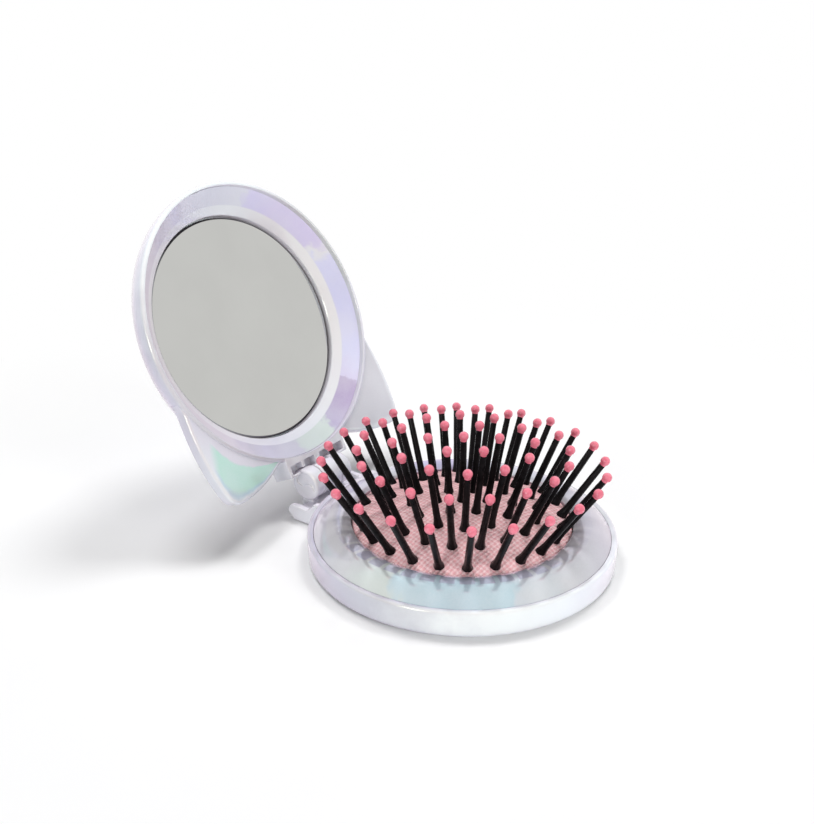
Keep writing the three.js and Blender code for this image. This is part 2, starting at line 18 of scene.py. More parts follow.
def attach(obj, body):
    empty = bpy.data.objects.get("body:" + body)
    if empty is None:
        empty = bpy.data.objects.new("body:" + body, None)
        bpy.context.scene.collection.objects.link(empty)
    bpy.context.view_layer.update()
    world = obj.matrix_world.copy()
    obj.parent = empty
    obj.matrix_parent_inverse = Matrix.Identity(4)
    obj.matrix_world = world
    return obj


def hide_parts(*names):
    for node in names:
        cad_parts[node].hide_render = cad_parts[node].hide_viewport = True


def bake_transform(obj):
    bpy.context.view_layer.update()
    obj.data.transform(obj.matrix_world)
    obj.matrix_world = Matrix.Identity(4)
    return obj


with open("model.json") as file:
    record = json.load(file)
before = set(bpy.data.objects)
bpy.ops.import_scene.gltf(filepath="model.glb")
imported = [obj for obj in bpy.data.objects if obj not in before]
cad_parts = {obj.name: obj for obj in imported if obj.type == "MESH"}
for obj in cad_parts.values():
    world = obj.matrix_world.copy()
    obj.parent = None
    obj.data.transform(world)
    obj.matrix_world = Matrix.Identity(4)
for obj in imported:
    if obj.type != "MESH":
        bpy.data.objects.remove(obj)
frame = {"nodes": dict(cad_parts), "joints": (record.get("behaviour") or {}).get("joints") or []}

log = logging.getLogger("brush")

MM = 0.001
FULL_TURN = 2 * math.pi
QUARTER_TURN = math.pi / 2
ON_AXIS = 1e-6
NO_CREASE = 180.0
NOISE_RANGE = (0.3, 0.7)
WHITE = (1, 1, 1, 1)

Point = tuple[float, float]
Place = tuple[float, float, float]
Colour = tuple[float, float, float]
Stops = tuple[tuple[float, Colour], ...]
Socket = bpy.types.NodeSocket
Piece = bpy.types.Object


class Side(Enum):
    """Which side of the brush a piece is on, seen from its front."""

    LEFT = -1
    RIGHT = 1


class Cut(Enum):
    """How a tool changes the solid that it meets."""

    JOIN = "UNION"
    CARVE = "DIFFERENCE"


@dataclass(frozen=True)
class Case:
    """Sizes that the base and the lid share, and where both stand in the frame."""

    hinge: Vector
    radius: float = 36.0
    hinge_backset: float = 42.0
    hinge_height: float = 7.4
    lid_rim_height: float = 6.7
    open_angle: float = 115.2
    knuckle_radius: float = 4.1
    knuckle_edge: float = 0.3
    barrel_half: float = 7.0
    middle_half: float = 3.1
    pin_radius: float = 1.0
    seam: float = 0.3
    overrun: float = 1.0
    sides: int = 240
    plain_sides: int = 120
    bore_sides: int = 48

    @property
    def base_place(self) -> Matrix:
        """Millimetres round the base's centre to metres in the frame."""
        centre = Vector((0, self.hinge.y - self.hinge_backset * MM, 0))
        return Matrix.Translation(centre) @ Matrix.Scale(MM, 4)

    @property
    def lid_place(self) -> Matrix:
        """Millimetres on the shut lid, z its depth from the rim, to the open lid in the frame.

        Returns:
            The place of the open lid.
        """
        shut = Vector((0, -self.hinge_backset, self.lid_rim_height - self.hinge_height))
        swing = Matrix.Rotation(-math.radians(self.open_angle), 4, "X")
        return Matrix.Translation(self.hinge) @ swing @ Matrix.Scale(MM, 4) @ Matrix.Translation(shut)


# Lines and meshes


def bend(start: Point, control: Point, end: Point, steps: int) -> list[Point]:
    """Points of one smooth curve from start to end.

    Args:
        start: The first point.
        control: The point that the curve leans towards.
        end: The last point.
        steps: How many pieces the curve has.

    Returns:
        The points, with both ends.
    """
    line = []
    for i in range(steps + 1):
        t = i / steps
        a, b, c = (1 - t) ** 2, 2 * t * (1 - t), t * t
        line.append(tuple(a * start[k] + b * control[k] + c * end[k] for k in range(2)))
    return line


@dataclass(frozen=True)
class Corner:
    """A corner of a profile, (radius, height), and how far its round reaches along each side."""

    x: float
    y: float
    reach: float = 0.0


def trace(corners: Sequence[Corner], closed: bool = False, steps: int = 5) -> list[Point]:
    """A profile's points, its corners replaced by rounds.

    Args:
        corners: The corners in order.
        closed: Whether the last corner joins the first.
        steps: How many pieces each round has.

    Returns:
        The points of the line.
    """
    line: list[Point] = []
    count = len(corners)
    for i, corner in enumerate(corners):
        here = Vector((corner.x, corner.y))
        inside = closed or 0 < i < count - 1
        if corner.reach == 0 or not inside:
            line.append((corner.x, corner.y))
            continue
        before, after = corners[i - 1], corners[(i + 1) % count]
        back = Vector((before.x, before.y)) - here
        ahead = Vector((after.x, after.y)) - here
        start = here + back.normalized() * corner.reach
        end = here + ahead.normalized() * corner.reach
        line.extend(bend(tuple(start), tuple(here), tuple(end), steps))
    return line


@dataclass
class Skin:
    """The points, faces and unwrapped corners of a mesh in the making."""

    points: list[Vector] = field(default_factory=list)
    faces: list[list[int]] = field(default_factory=list)
    unwrap: list[list[Point]] = field(default_factory=list)

    def add_row(self, row: Sequence[Vector]) -> list[int]:
        """Adds points to the mesh.

        Args:
            row: The points.

        Returns:
            Their numbers.
        """
        first = len(self.points)
        self.points.extend(row)
        return list(range(first, first + len(row)))

    def add_face(self, numbers: Sequence[int], corners: Sequence[Point]) -> None:
        """Adds one face with its unwrapped corners."""
        self.faces.append(list(numbers))
        self.unwrap.append(list(corners))

    def turn(
        self,
        line: Sequence[Point],
        sides: int,
        place: Matrix,
        closed: bool = False,
        flutes: int = 0,
        flute_depth: float = 0.0,
    ) -> None:
        """Turns a line of (radius, height) round the Z axis.

        Args:
            line: The points of the profile.
            sides: How many sides the turned form has.
            place: Where the turned form goes.
            closed: Whether the line's end joins its start.
            flutes: How many shallow grooves run along the form.
            flute_depth: The share of the radius that a groove takes away.
        """
        spans = len(line) if closed else len(line) - 1
        lengths = [0.0]
        for i in range(spans):
            a, b = line[i], line[(i + 1) % len(line)]
            lengths.append(lengths[-1] + math.dist(a, b))
        rows = []
        for radius, height in line:
            if radius < ON_AXIS:
                rows.append(self.add_row([place @ Vector((0, 0, height))]))
                continue
            row = []
            for i in range(sides):
                angle = FULL_TURN * i / sides
                dip = flute_depth * (0.5 - 0.5 * math.cos(flutes * angle)) if flutes else 0.0
                r = radius * (1 - dip)
                row.append(place @ Vector((r * math.cos(angle), r * math.sin(angle), height)))
            rows.append(self.add_row(row))
        for k in range(spans):
            low, high = rows[k], rows[(k + 1) % len(rows)]
            v0, v1 = lengths[k] / lengths[-1], lengths[k + 1] / lengths[-1]
            self._band(low, high, sides, v0, v1)

    def _band(self, low: list[int], high: list[int], sides: int, v0: float, v1: float) -> None:
        """Joins two turned rows, either of which may be one point on the axis.

        Args:
            low: The first row's numbers.
            high: The second row's numbers.
            sides: How many points a full row has.
            v0: The V of the first row.
            v1: The V of the second row.
        """
        for i in range(sides):
            j = (i + 1) % sides
            u0, u1 = i / sides, (i + 1) / sides
            if len(low) == 1 and len(high) == 1:
                return
            if len(low) == 1:
                self.add_face([low[0], high[j], high[i]], [(u0, v0), (u1, v1), (u0, v1)])
            elif len(high) == 1:
                self.add_face([low[i], low[j], high[0]], [(u0, v0), (u1, v0), (u0, v1)])
            else:
                corners = [(u0, v0), (u1, v0), (u1, v1), (u0, v1)]
                self.add_face([low[i], low[j], high[j], high[i]], corners)

    def loft(self, rows: Sequence[Sequence[Vector]], place: Matrix) -> None:
        """Joins closed rows of equal length and caps both ends.

        Args:
            rows: The rows of points, from one cap to the other.
            place: Where the form goes.
        """
        count = len(rows[0])
        numbers = [self.add_row([place @ p for p in row]) for row in rows]
        for k in range(len(rows) - 1):
            v0, v1 = k / (len(rows) - 1), (k + 1) / (len(rows) - 1)
            self._band(numbers[k], numbers[k + 1], count, v0, v1)
        self.add_face(list(reversed(numbers[0])), [(0.0, 0.0)] * count)
        self.add_face(numbers[-1], [(0.0, 1.0)] * count)

    def piece(self, name: str, crease_angle: float = 40.0) -> Piece:
        """Makes the mesh an object with smooth shading and sharp creases.

        Args:
            name: The piece's name.
            crease_angle: Edges that turn more than this many degrees stay sharp.

        Returns:
            The new object.
        """
        mesh = bpy.data.meshes.new(name)
        mesh.from_pydata([tuple(p) for p in self.points], [], self.faces)
        layer = mesh.uv_layers.new(name="unwrap")
        flat = [c for face in self.unwrap for corner in face for c in corner]
        layer.data.foreach_set("uv", flat)
        obj = bpy.data.objects.new(name, mesh)
        bpy.context.scene.collection.objects.link(obj)
        smooth(obj, crease_angle)
        return obj


def smooth(obj: Piece, crease_angle: float) -> None:
    """Turns the faces outwards and shades them smooth.

    Args:
        obj: The piece.
        crease_angle: Edges that turn more than this many degrees stay sharp.
    """
    form = bmesh.new()
    form.from_mesh(obj.data)
    bmesh.ops.recalc_face_normals(form, faces=form.faces)
    limit = math.radians(crease_angle)
    for face in form.faces:
        face.smooth = True
    for edge in form.edges:
        edge.smooth = len(edge.link_faces) != 2 or edge.calc_face_angle(0) < limit
    form.to_mesh(obj.data)
    form.free()
    obj.data.update()


def settle(obj: Piece) -> Piece:
    """Applies a piece's modifiers to its mesh.

    Args:
        obj: The piece.

    Returns:
        The same piece.
    """
    graph = bpy.context.evaluated_depsgraph_get()
    graph.update()
    made = bpy.data.meshes.new_from_object(obj.evaluated_get(graph))
    obj.modifiers.clear()
    obj.data = made
    return obj


def cut(body: Piece, tool: Piece, kind: Cut) -> Piece:
    """Joins a tool to a body or carves it out, and removes the tool.

    Args:
        body: The solid that changes.
        tool: The solid that it meets.
        kind: Whether they are joined or the tool is carved out.

    Returns:
        The body.
    """
    step = body.modifiers.new("cut", "BOOLEAN")
    step.operation = kind.value
    step.solver = "MANIFOLD"
    step.object = tool
    settle(body)
    bpy.data.objects.remove(tool)
    return body


def mould(obj: Piece, place: Matrix, grain: float = 0.14, passes: int = 3) -> Piece:
    """Softens every edge of a solid as a mould does, and sets it in the frame.

    Args:
        obj: The solid, in millimetres.
        place: Where the solid goes in the frame.
        grain: The size of the new faces, in millimetres.
        passes: How often the surface is eased.

    Returns:
        The same object.
    """
    remesh = obj.modifiers.new("grain", "REMESH")
    remesh.mode = "VOXEL"
    remesh.voxel_size = grain
    ease = obj.modifiers.new("ease", "SMOOTH")
    ease.factor = 0.5
    ease.iterations = passes
    settle(obj)
    obj.data.transform(place)
    smooth(obj, NO_CREASE)
    return obj


def slab(name: str, low: Sequence[float], high: Sequence[float]) -> Piece:
    """A block between two corners, in millimetres, to be joined or carved.

    Args:
        name: The block's name.
        low: The corner with the lowest x, y and z.
        high: The corner with the highest.

    Returns:
        The block.
    """
    ground = [(low[0], low[1]), (high[0], low[1]), (high[0], high[1]), (low[0], high[1])]
    skin = Skin()
    skin.loft([[Vector((x, y, z)) for x, y in ground] for z in (low[2], high[2])], Matrix())
    return skin.piece(name)


def prism(name: str, outline: Sequence[Point], low: float, high: float) -> Piece:
    """A form drawn in (y, z) and drawn out along X, in millimetres.

    Args:
        name: The form's name.
        outline: Its outline.
        low: The x of one end.
        high: The x of the other end.

    Returns:
        The form.
    """
    skin = Skin()
    skin.loft([[Vector((x, y, z)) for y, z in outline] for x in (low, high)], Matrix())
    return skin.piece(name)


def turned(
    name: str,
    line: Sequence[Point],
    sides: int,
    place: Matrix,
    closed: bool = False,
    crease_angle: float = 40.0,
) -> Piece:
    """A piece turned from one line.

    Args:
        name: The piece's name.
        line: The points of the profile, (radius, height).
        sides: How many sides the turned form has.
        place: Where it goes.
        closed: Whether the line's end joins its start.
        crease_angle: Edges that turn more than this many degrees stay sharp.

    Returns:
        The new object.
    """
    skin = Skin()
    skin.turn(line, sides, place, closed)
    return skin.piece(name, crease_angle)


def rod(name: str, line: Sequence[Point], y: float, z: float, sides: int = 72) -> Piece:
    """A form turned round an axis along X through (y, z); the line is (radius, x)."""
    lie = Matrix.Translation((0, y, z)) @ Matrix.Rotation(QUARTER_TURN, 4, "Y")
    return turned(name, line, sides, lie)


def drum(name: str, radius: float, ends: Point, y: float, z: float, sides: int = 72) -> Piece:
    """A plain round bar along X through (y, z), between two ends."""
    low, high = ends
    return rod(name, [(0, low), (radius, low), (radius, high), (0, high)], y, z, sides)


# Finishes


def paint(colour: Colour) -> tuple[float, float, float, float]:
    """A colour as shown, 0 to 255, as the linear colour that a shader takes.

    Args:
        colour: The colour as shown.

    Returns:
        Red, green, blue and 1.
    """
    linear = []
    for part in colour:
        share = part / 255
        linear.append(share / 12.92 if share <= 0.04045 else ((share + 0.055) / 1.055) ** 2.4)
    return (*linear, 1.0)


def stops(*runs: tuple) -> Stops:
    """Colour stops from runs, each (place, colour) or (start, end, colour)."""
    return tuple((place, run[-1]) for run in runs for place in run[:-1])


class Nodes:
    """A node tree while it is wired."""

    def __init__(self, tree: bpy.types.NodeTree) -> None:
        """Takes the tree."""
        self.tree = tree

    def node(self, kind: str, inputs: dict | None = None, **settings: object) -> bpy.types.Node:
        """Adds a node.

        Args:
            kind: The node's type.
            inputs: Numbers, colours or sockets for its inputs, by name or place.
            **settings: The node's own settings.

        Returns:
            The node.
        """
        made = self.tree.nodes.new(kind)
        for key, value in settings.items():
            setattr(made, key, value)
        for key, value in (inputs or {}).items():
            self.feed(made.inputs[key], value)
        return made

    def feed(self, socket: Socket, value: object) -> None:
        """Links a socket to another, or sets its own value.

        Args:
            socket: The socket that takes the value.
            value: A socket, a number or a colour.
        """
        if isinstance(value, bpy.types.NodeSocket):
            self.tree.links.new(value, socket)
        else:
            socket.default_value = value

    def noise(self, vector: Socket, scale: float, detail: float = 3.0) -> Socket:
        """A soft random value from 0 to 1."""
        inputs = {"Vector": vector, "Scale": scale, "Detail": detail}
        return self.node("ShaderNodeTexNoise", inputs).outputs["Fac"]

    def sums(self, operation: str, a: object, b: object = 0.0) -> Socket:
        """One step of arithmetic."""
        return self.node("ShaderNodeMath", {0: a, 1: b}, operation=operation).outputs[0]

    def spread(
        self, value: Socket, low: float, high: float, to_low: float = 0.0, to_high: float = 1.0
    ) -> Socket:
        """Maps one range of values to another, held at the ends."""
        ends = {"From Min": low, "From Max": high, "To Min": to_low, "To Max": to_high}
        return self.node("ShaderNodeMapRange", {"Value": value, **ends}).outputs[0]

    def cloud(self, vector: Socket, scale: float, low: float, high: float, detail: float = 3.0) -> Socket:
        """A soft random value between two numbers."""
        return self.spread(self.noise(vector, scale, detail), *NOISE_RANGE, low, high)

    def mix(self, share: object, a: object, b: object) -> Socket:
        """Mixes two colours.

        Args:
            share: How much of b shows.
            a: The first colour.
            b: The second colour.

        Returns:
            The mixed colour.
        """
        made = self.node("ShaderNodeMix", data_type="RGBA")
        for place, value in ((0, share), (6, a), (7, b)):
            self.feed(made.inputs[place], value)
        return made.outputs[2]

    def ramp(self, value: Socket, places: Stops) -> Socket:
        """A run of colours along a value from 0 to 1.

        Args:
            value: The place along the run.
            places: The colour stops.

        Returns:
            The colour there.
        """
        made = self.node("ShaderNodeValToRGB", {"Fac": value})
        band = made.color_ramp
        while len(band.elements) < len(places):
            band.elements.new(0.5)
        for element, (place, colour) in zip(band.elements, places):
            element.position = place
            element.color = paint(colour)
        return made.outputs["Color"]

    def seen(self) -> Socket:
        """Tells the rays that show things from the rays that light the object.

        Returns:
            1 for what the camera, metal and glass see, 0 for what lights the object.
        """
        light = self.node("ShaderNodeLightPath").outputs
        either = self.sums("MAXIMUM", light["Is Camera Ray"], light["Is Glossy Ray"])
        return self.sums("MAXIMUM", either, light["Is Transmission Ray"])


class Wiring(Nodes):
    """The node tree of one finish while it is wired."""

    def __init__(self, name: str) -> None:
        """Starts a material with its shader.

        Args:
            name: The material's name.
        """
        self.material = bpy.data.materials.new(name)
        self.material.use_nodes = True
        super().__init__(self.material.node_tree)
        self.shader = self.tree.nodes["Principled BSDF"]
        self.coordinates = self.tree.nodes.new("ShaderNodeTexCoord")

    def at(self, source: str, scale: Place = (1, 1, 1), turn: float = 0.0) -> Socket:
        """Coordinates of the object or its unwrapping, scaled and turned about Z."""
        inputs = {"Vector": self.coordinates.outputs[source], "Scale": scale, "Rotation": (0, 0, turn)}
        return self.node("ShaderNodeMapping", inputs).outputs["Vector"]

    def axes(self, vector: Socket) -> bpy.types.NodeOutputs:
        """The X, Y and Z of a vector."""
        return self.node("ShaderNodeSeparateXYZ", {0: vector}).outputs

    def relief(self, height: Socket, depth: float, strength: float = 1.0) -> None:
        """Raises the surface by a height field, depth in metres."""
        made = self.node("ShaderNodeBump", {"Height": height, "Distance": depth, "Strength": strength})
        self.feed(self.shader.inputs["Normal"], made.outputs["Normal"])

    def set(self, **values: object) -> None:
        """Sets the shader's own sockets; underscores stand for spaces."""
        for key, value in values.items():
            self.feed(self.shader.inputs[key.replace("_", " ")], value)


@dataclass(frozen=True)
class PaintedPinReflections:
    """Painted reflections of the pins: a darker band beyond a V of the unwrapping, broken evenly, strongest
    at one U.

    The V pair says where it starts and is full, the beat pair where a break ends and a block begins, and
    the reach pair how far from its middle it starts to fade and has faded.
    """

    across: Point
    colour: Colour = (176, 172, 194)
    breaks: int = 44
    beat: Point = (-0.85, -0.6)
    strength: float = 0.75
    middle: float = 0.57
    reach: Point = (0.119, 0.17)
    rest: float = 0.2

    def over(self, wires: Wiring, colour: Socket, unwrap: bpy.types.NodeOutputs) -> Socket:
        """Lays the painted pin reflections over a colour.

        Args:
            wires: The finish that it is part of.
            colour: The colour without the band.
            unwrap: The X and Y of the unwrapping.

        Returns:
            The colour with the band.
        """
        along = unwrap["X"]
        beat = wires.sums("SINE", wires.sums("MULTIPLY", along, self.breaks * FULL_TURN))
        share = wires.spread(beat, *self.beat, 0.0, self.strength)
        share = wires.sums("MULTIPLY", share, wires.spread(unwrap["Y"], *self.across))
        apart = wires.sums("ABSOLUTE", wires.sums("SUBTRACT", along, self.middle))
        share = wires.sums("MULTIPLY", share, wires.spread(apart, *self.reach, 1.0, self.rest))
        return wires.mix(share, colour, paint(self.colour))


@dataclass(frozen=True)
class Pearl:
    """Glossy pearl lacquer with painted reflections and painted light and shade round the piece.

    The body drifts softly towards its wash. The tints over it are painted iridescent reflections and
    painted light and shade fixed to the piece; they run along the unwrapped U, and fade names the V where
    they start to show and the V where they are full. Painted reflections of the pins may lie over them.
    """

    name: str
    body: Colour
    wash: Colour
    shade_and_reflection_tints: Stops
    strength: float = 0.9
    least: float = 0.75
    wander: float = 0.012
    gloss: float = 0.12
    gloss_spread: float = 0.07
    sheen: float = 0.08
    fade: Point | None = None
    ragged: float = 1.0
    painted_pin_reflections: PaintedPinReflections | None = None
    tint_range: Point = (0.35, 0.65)
    pool_range: Point = (0.4, 0.62)
    fleck: Colour = (255, 252, 255)
    fleck_share: float = 0.06
    light_reach: Place = (0.002, 0.002, 0.002)
    ripple: float = 0.00003

    def material(self) -> bpy.types.Material:
        """Wires the lacquer.

        Returns:
            The finished material.
        """
        wires = Wiring(self.name)
        place = wires.at("Object")
        unwrap = wires.axes(wires.coordinates.outputs["UV"])
        drift = wires.cloud(place, scale=220.0, low=-self.wander, high=self.wander)
        painted_reflection_and_shade = wires.ramp(wires.sums("ADD", unwrap["X"], drift), self.shade_and_reflection_tints)
        share = wires.noise(place, scale=90.0)
        share = wires.spread(share, *self.tint_range, self.strength * self.least, self.strength)
        if self.fade is not None:
            edge = wires.sums("ADD", unwrap["Y"], wires.sums("MULTIPLY", drift, self.ragged))
            share = wires.sums("MULTIPLY", share, wires.spread(edge, *self.fade))
        pool = wires.spread(wires.noise(place, scale=38.0, detail=2.0), *self.pool_range)
        colour = wires.mix(share, wires.mix(pool, paint(self.body), paint(self.wash)), painted_reflection_and_shade)
        if self.painted_pin_reflections is not None:
            colour = self.painted_pin_reflections.over(wires, colour, unwrap)
        fleck = wires.cloud(place, scale=2600.0, low=0.0, high=self.fleck_share, detail=2.0)
        gloss = wires.cloud(place, scale=60.0, low=self.gloss, high=self.gloss + self.gloss_spread)
        wires.set(Base_Color=wires.mix(fleck, colour, paint(self.fleck)), Metallic=self.sheen)
        wires.set(Roughness=gloss, IOR=1.5, Coat_Weight=0.7, Coat_Roughness=0.03, Coat_IOR=1.55)
        wires.set(Thin_Film_Thickness=420.0, Thin_Film_IOR=1.36, Specular_IOR_Level=0.6)
        wires.set(Subsurface_Weight=0.08, Subsurface_Radius=self.light_reach)
        wires.relief(wires.noise(place, scale=340.0, detail=1.0), self.ripple, strength=0.5)
        return wires.material


@dataclass(frozen=True)
class WovenRubber:
    """Matt rubber with rows of small raised beads, their tops painted lighter and the gaps painted darker:
    painted highlight and shade.
    """

    name: str
    high: Colour
    low: Colour
    bead: float
    row: float
    turn: float
    sway: float = 0.12
    roundness: float = 0.8
    depth: float = 0.0003

    def material(self) -> bpy.types.Material:
        """Wires the rubber.

        Returns:
            The finished material.
        """
        wires = Wiring(self.name)
        place = wires.at("Object")
        rows = wires.axes(wires.at("Object", (1 / (self.bead * MM), 1 / (self.row * MM), 1.0), self.turn))
        shift = wires.cloud(place, scale=500.0, low=-self.sway, high=self.sway, detail=2.0)
        waves = []
        for axis in "XY":
            turns = wires.sums("MULTIPLY", wires.sums("ADD", rows[axis], shift), FULL_TURN)
            waves.append(wires.sums("SINE", turns))
        weave = wires.spread(wires.sums("MULTIPLY", *waves), -self.roundness, self.roundness)
        bead_height_and_shade = wires.sums("MULTIPLY", weave, wires.cloud(place, scale=130.0, low=0.75, high=1.0))
        wires.set(Base_Color=wires.mix(bead_height_and_shade, paint(self.low), paint(self.high)))
        wires.set(Roughness=wires.spread(weave, 0.0, 1.0, to_low=0.78, to_high=0.55))
        wires.set(Specular_IOR_Level=0.35, Sheen_Weight=0.12, Sheen_Roughness=0.5)
        wires.relief(bead_height_and_shade, self.depth)
        return wires.material


@dataclass(frozen=True)
class DrawnNylon:
    """Dark satin nylon with fine streaks along each pin."""

    name: str
    dark: Colour
    light: Colour
    streaks: Place = (26.0, 0.8, 1.0)
    depth: float = 0.00006

    def material(self) -> bpy.types.Material:
        """Wires the nylon.

        Returns:
            The finished material.
        """
        wires = Wiring(self.name)
        streak = wires.noise(wires.at("UV", self.streaks), scale=1.0, detail=2.0)
        both = wires.sums("MULTIPLY", streak, wires.noise(wires.at("Object"), scale=700.0))
        share = wires.spread(both, low=0.15, high=0.4)
        wires.set(Base_Color=wires.mix(share, paint(self.dark), paint(self.light)))
        wires.set(Roughness=wires.spread(streak, *NOISE_RANGE, to_low=0.12, to_high=0.22))
        wires.set(Specular_IOR_Level=0.3, IOR=1.25)
        wires.relief(streak, self.depth)
        return wires.material


@dataclass(frozen=True)
class GlossTip:
    """Glossy dipped plastic with a slightly uneven colour."""

    name: str
    body: Colour
    deep: Colour
    light_reach: Place = (0.0008, 0.0004, 0.0004)
    depth: float = 0.00003

    def material(self) -> bpy.types.Material:
        """Wires the dip.

        Returns:
            The finished material.
        """
        wires = Wiring(self.name)
        place = wires.at("Object")
        share = wires.spread(wires.noise(place, scale=900.0), low=0.35, high=0.65)
        wires.set(Base_Color=wires.mix(share, paint(self.body), paint(self.deep)))
        wires.set(Roughness=wires.cloud(place, scale=400.0, low=0.16, high=0.3))
        wires.set(Coat_Weight=0.5, Coat_Roughness=0.06, Subsurface_Weight=0.1)
        wires.set(Subsurface_Radius=self.light_reach)
        wires.relief(wires.noise(place, scale=1500.0, detail=1.0), self.depth)
        return wires.material


@dataclass(frozen=True)
class Silvered:
    """Silvered glass, evenly grey, with the faintest haze and a bevel with darker reflections painted on
    it.

    The bevel's painted reflection stops run round it along the unwrapped U, from bevel_start of V outwards.
    """

    name: str
    tone: Colour
    haze: Colour
    painted_bevel_reflections: Stops
    bevel_start: float = 0.4855

    def material(self) -> bpy.types.Material:
        """Wires the glass.

        Returns:
            The finished material.
        """
        wires = Wiring(self.name)
        cloud = wires.noise(wires.at("Object"), scale=60.0, detail=4.0)
        face = wires.mix(wires.spread(cloud, *NOISE_RANGE), paint(self.tone), paint(self.haze))
        unwrap = wires.axes(wires.coordinates.outputs["UV"])
        outside = wires.sums("GREATER_THAN", unwrap["Y"], self.bevel_start)
        wires.set(Base_Color=wires.mix(outside, face, wires.ramp(unwrap["X"], self.painted_bevel_reflections)), Metallic=1.0)
        wires.set(Roughness=wires.spread(cloud, *NOISE_RANGE, to_low=0.03, to_high=0.06))
        return wires.material


@dataclass(frozen=True)
class PlainStuff:
    """Any hidden stuff: moulded plastic, wire or foam, told apart by grain and roughness."""

    name: str
    body: Colour
    shade: Colour
    grain: float
    rough: float
    metallic: float = 0.0
    stretch: Place = (1, 1, 1)
    depth: float = 0.00004
    rough_spread: float = 0.12

    def material(self) -> bpy.types.Material:
        """Wires the stuff.

        Returns:
            The finished material.
        """
        wires = Wiring(self.name)
        cloud = wires.noise(wires.at("Object", self.stretch), self.grain, detail=4.0)
        share = wires.spread(cloud, *NOISE_RANGE)
        rough = wires.spread(cloud, *NOISE_RANGE, self.rough, self.rough + self.rough_spread)
        wires.set(Base_Color=wires.mix(share, paint(self.body), paint(self.shade)))
        wires.set(Metallic=self.metallic, Roughness=rough)
        wires.relief(cloud, self.depth)
        return wires.material


# Colours as shown. Most are laid round the pieces as painted iridescent reflections and painted light and
# shade; the greys from DEEP_GREY on are painted reflections on the mirror's bevel.
WHITE_PEARL: Colour = (233, 232, 238)
LAVENDER: Colour = (212, 200, 240)
PERIWINKLE: Colour = (214, 214, 252)
VIOLET: Colour = (178, 155, 200)
MINT_WHITE: Colour = (207, 215, 210)
PALE_BLUE: Colour = (181, 206, 219)
CLOUD_BLUE: Colour = (203, 209, 219)
FAINT_LILAC: Colour = (221, 212, 223)
SOFT_LILAC: Colour = (222, 218, 232)
CREAM: Colour = (222, 221, 220)
WARM_GREY: Colour = (207, 203, 206)
SHADED_GREY: Colour = (197, 193, 197)
CLEAR_WHITE: Colour = (251, 252, 254)
BRIGHT_WHITE: Colour = (250, 248, 249)
LILAC_WHITE: Colour = (244, 240, 246)
LEFT_LILAC: Colour = (212, 206, 216)
SHADED_LILAC: Colour = (201, 194, 210)
MINT: Colour = (186, 223, 209)
GREY_LILAC: Colour = (208, 202, 212)
DEEP_GREY: Colour = (70, 64, 68)
DUSK_GREY: Colour = (84, 80, 84)
IRON_GREY: Colour = (104, 98, 104)
MID_GREY: Colour = (140, 136, 140)
SOFT_GREY: Colour = (150, 146, 150)
BRIGHT_GREY: Colour = (205, 205, 206)

# Painted iridescent reflections round the mirror's band, with a painted shaded lilac; they fade out over
# the bezel.
BAND_PEARL = Pearl(
    "pearl_band",
    body=(240, 238, 241),
    wash=(234, 231, 238),
    shade_and_reflection_tints=stops(
        (0.0, 0.085, PERIWINKLE),
        (0.118, LAVENDER),
        (0.122, 0.19, VIOLET),
        (0.2, 0.245, MINT_WHITE),
        (0.26, 0.33, SHADED_LILAC),
        (0.36, 0.6, FAINT_LILAC),
        (0.8, SOFT_LILAC),
        (0.815, 0.925, LAVENDER),
        (0.935, WHITE_PEARL),
        (0.948, 1.0, PERIWINKLE),
    ),
    sheen=0.12,
    fade=(0.266, 0.25),
    ragged=0.1,
)
# Painted iridescent reflections round the collar, such as the lavender and pale-blue patches, painted shade
# at its back, and painted pin reflections along its inner edge.
COLLAR_PEARL = Pearl(
    "pearl_collar",
    body=WHITE_PEARL,
    wash=FAINT_LILAC,
    shade_and_reflection_tints=stops(
        (0.0, 0.07, WHITE_PEARL),
        (0.09, 0.16, LAVENDER),
        (0.18, WHITE_PEARL),
        (0.3, FAINT_LILAC),
        (0.36, 0.46, WARM_GREY),
        (0.49, 0.515, MINT_WHITE),
        (0.525, 0.64, PALE_BLUE),
        (0.65, CLOUD_BLUE),
        (0.72, 0.9, SHADED_GREY),
        (1.0, WHITE_PEARL),
    ),
    sheen=0.3,
    gloss=0.13,
    painted_pin_reflections=PaintedPinReflections(across=(0.185, 0.193)),
)
# Painted light and shade round the case: the left side painted a darker lilac, the front a clearer white,
# the far right a darker cream.
CASE_PEARL = Pearl(
    "pearl_case",
    body=(228, 226, 232),
    wash=(214, 212, 228),
    shade_and_reflection_tints=stops(
        (0.0, WHITE_PEARL),
        (0.2, FAINT_LILAC),
        (0.4, 0.5, LEFT_LILAC),
        (0.6, 0.8, CLEAR_WHITE),
        (0.88, 0.97, CREAM),
        (1.0, WHITE_PEARL),
    ),
    wander=0.02,
    fade=(0.66, 0.6),
    ragged=0.1,
)
HINGE_PEARL = Pearl(
    "pearl_hinge",
    body=BRIGHT_WHITE,
    wash=FAINT_LILAC,
    shade_and_reflection_tints=stops((0.0, LILAC_WHITE), (1.0, BRIGHT_WHITE)),
)
# The mint and pale-blue patch is a painted iridescent reflection on the ear's face.
EAR_MINT = Pearl(
    "pearl_mint",
    body=WHITE_PEARL,
    wash=FAINT_LILAC,
    shade_and_reflection_tints=stops(
        (0.0, 0.085, FAINT_LILAC),
        (0.1, 0.25, MINT),
        (0.28, PALE_BLUE),
        (0.31, 0.7, WHITE_PEARL),
        (0.8, 1.0, FAINT_LILAC),
    ),
    strength=1.0,
    fade=(0.27, 0.35),
)
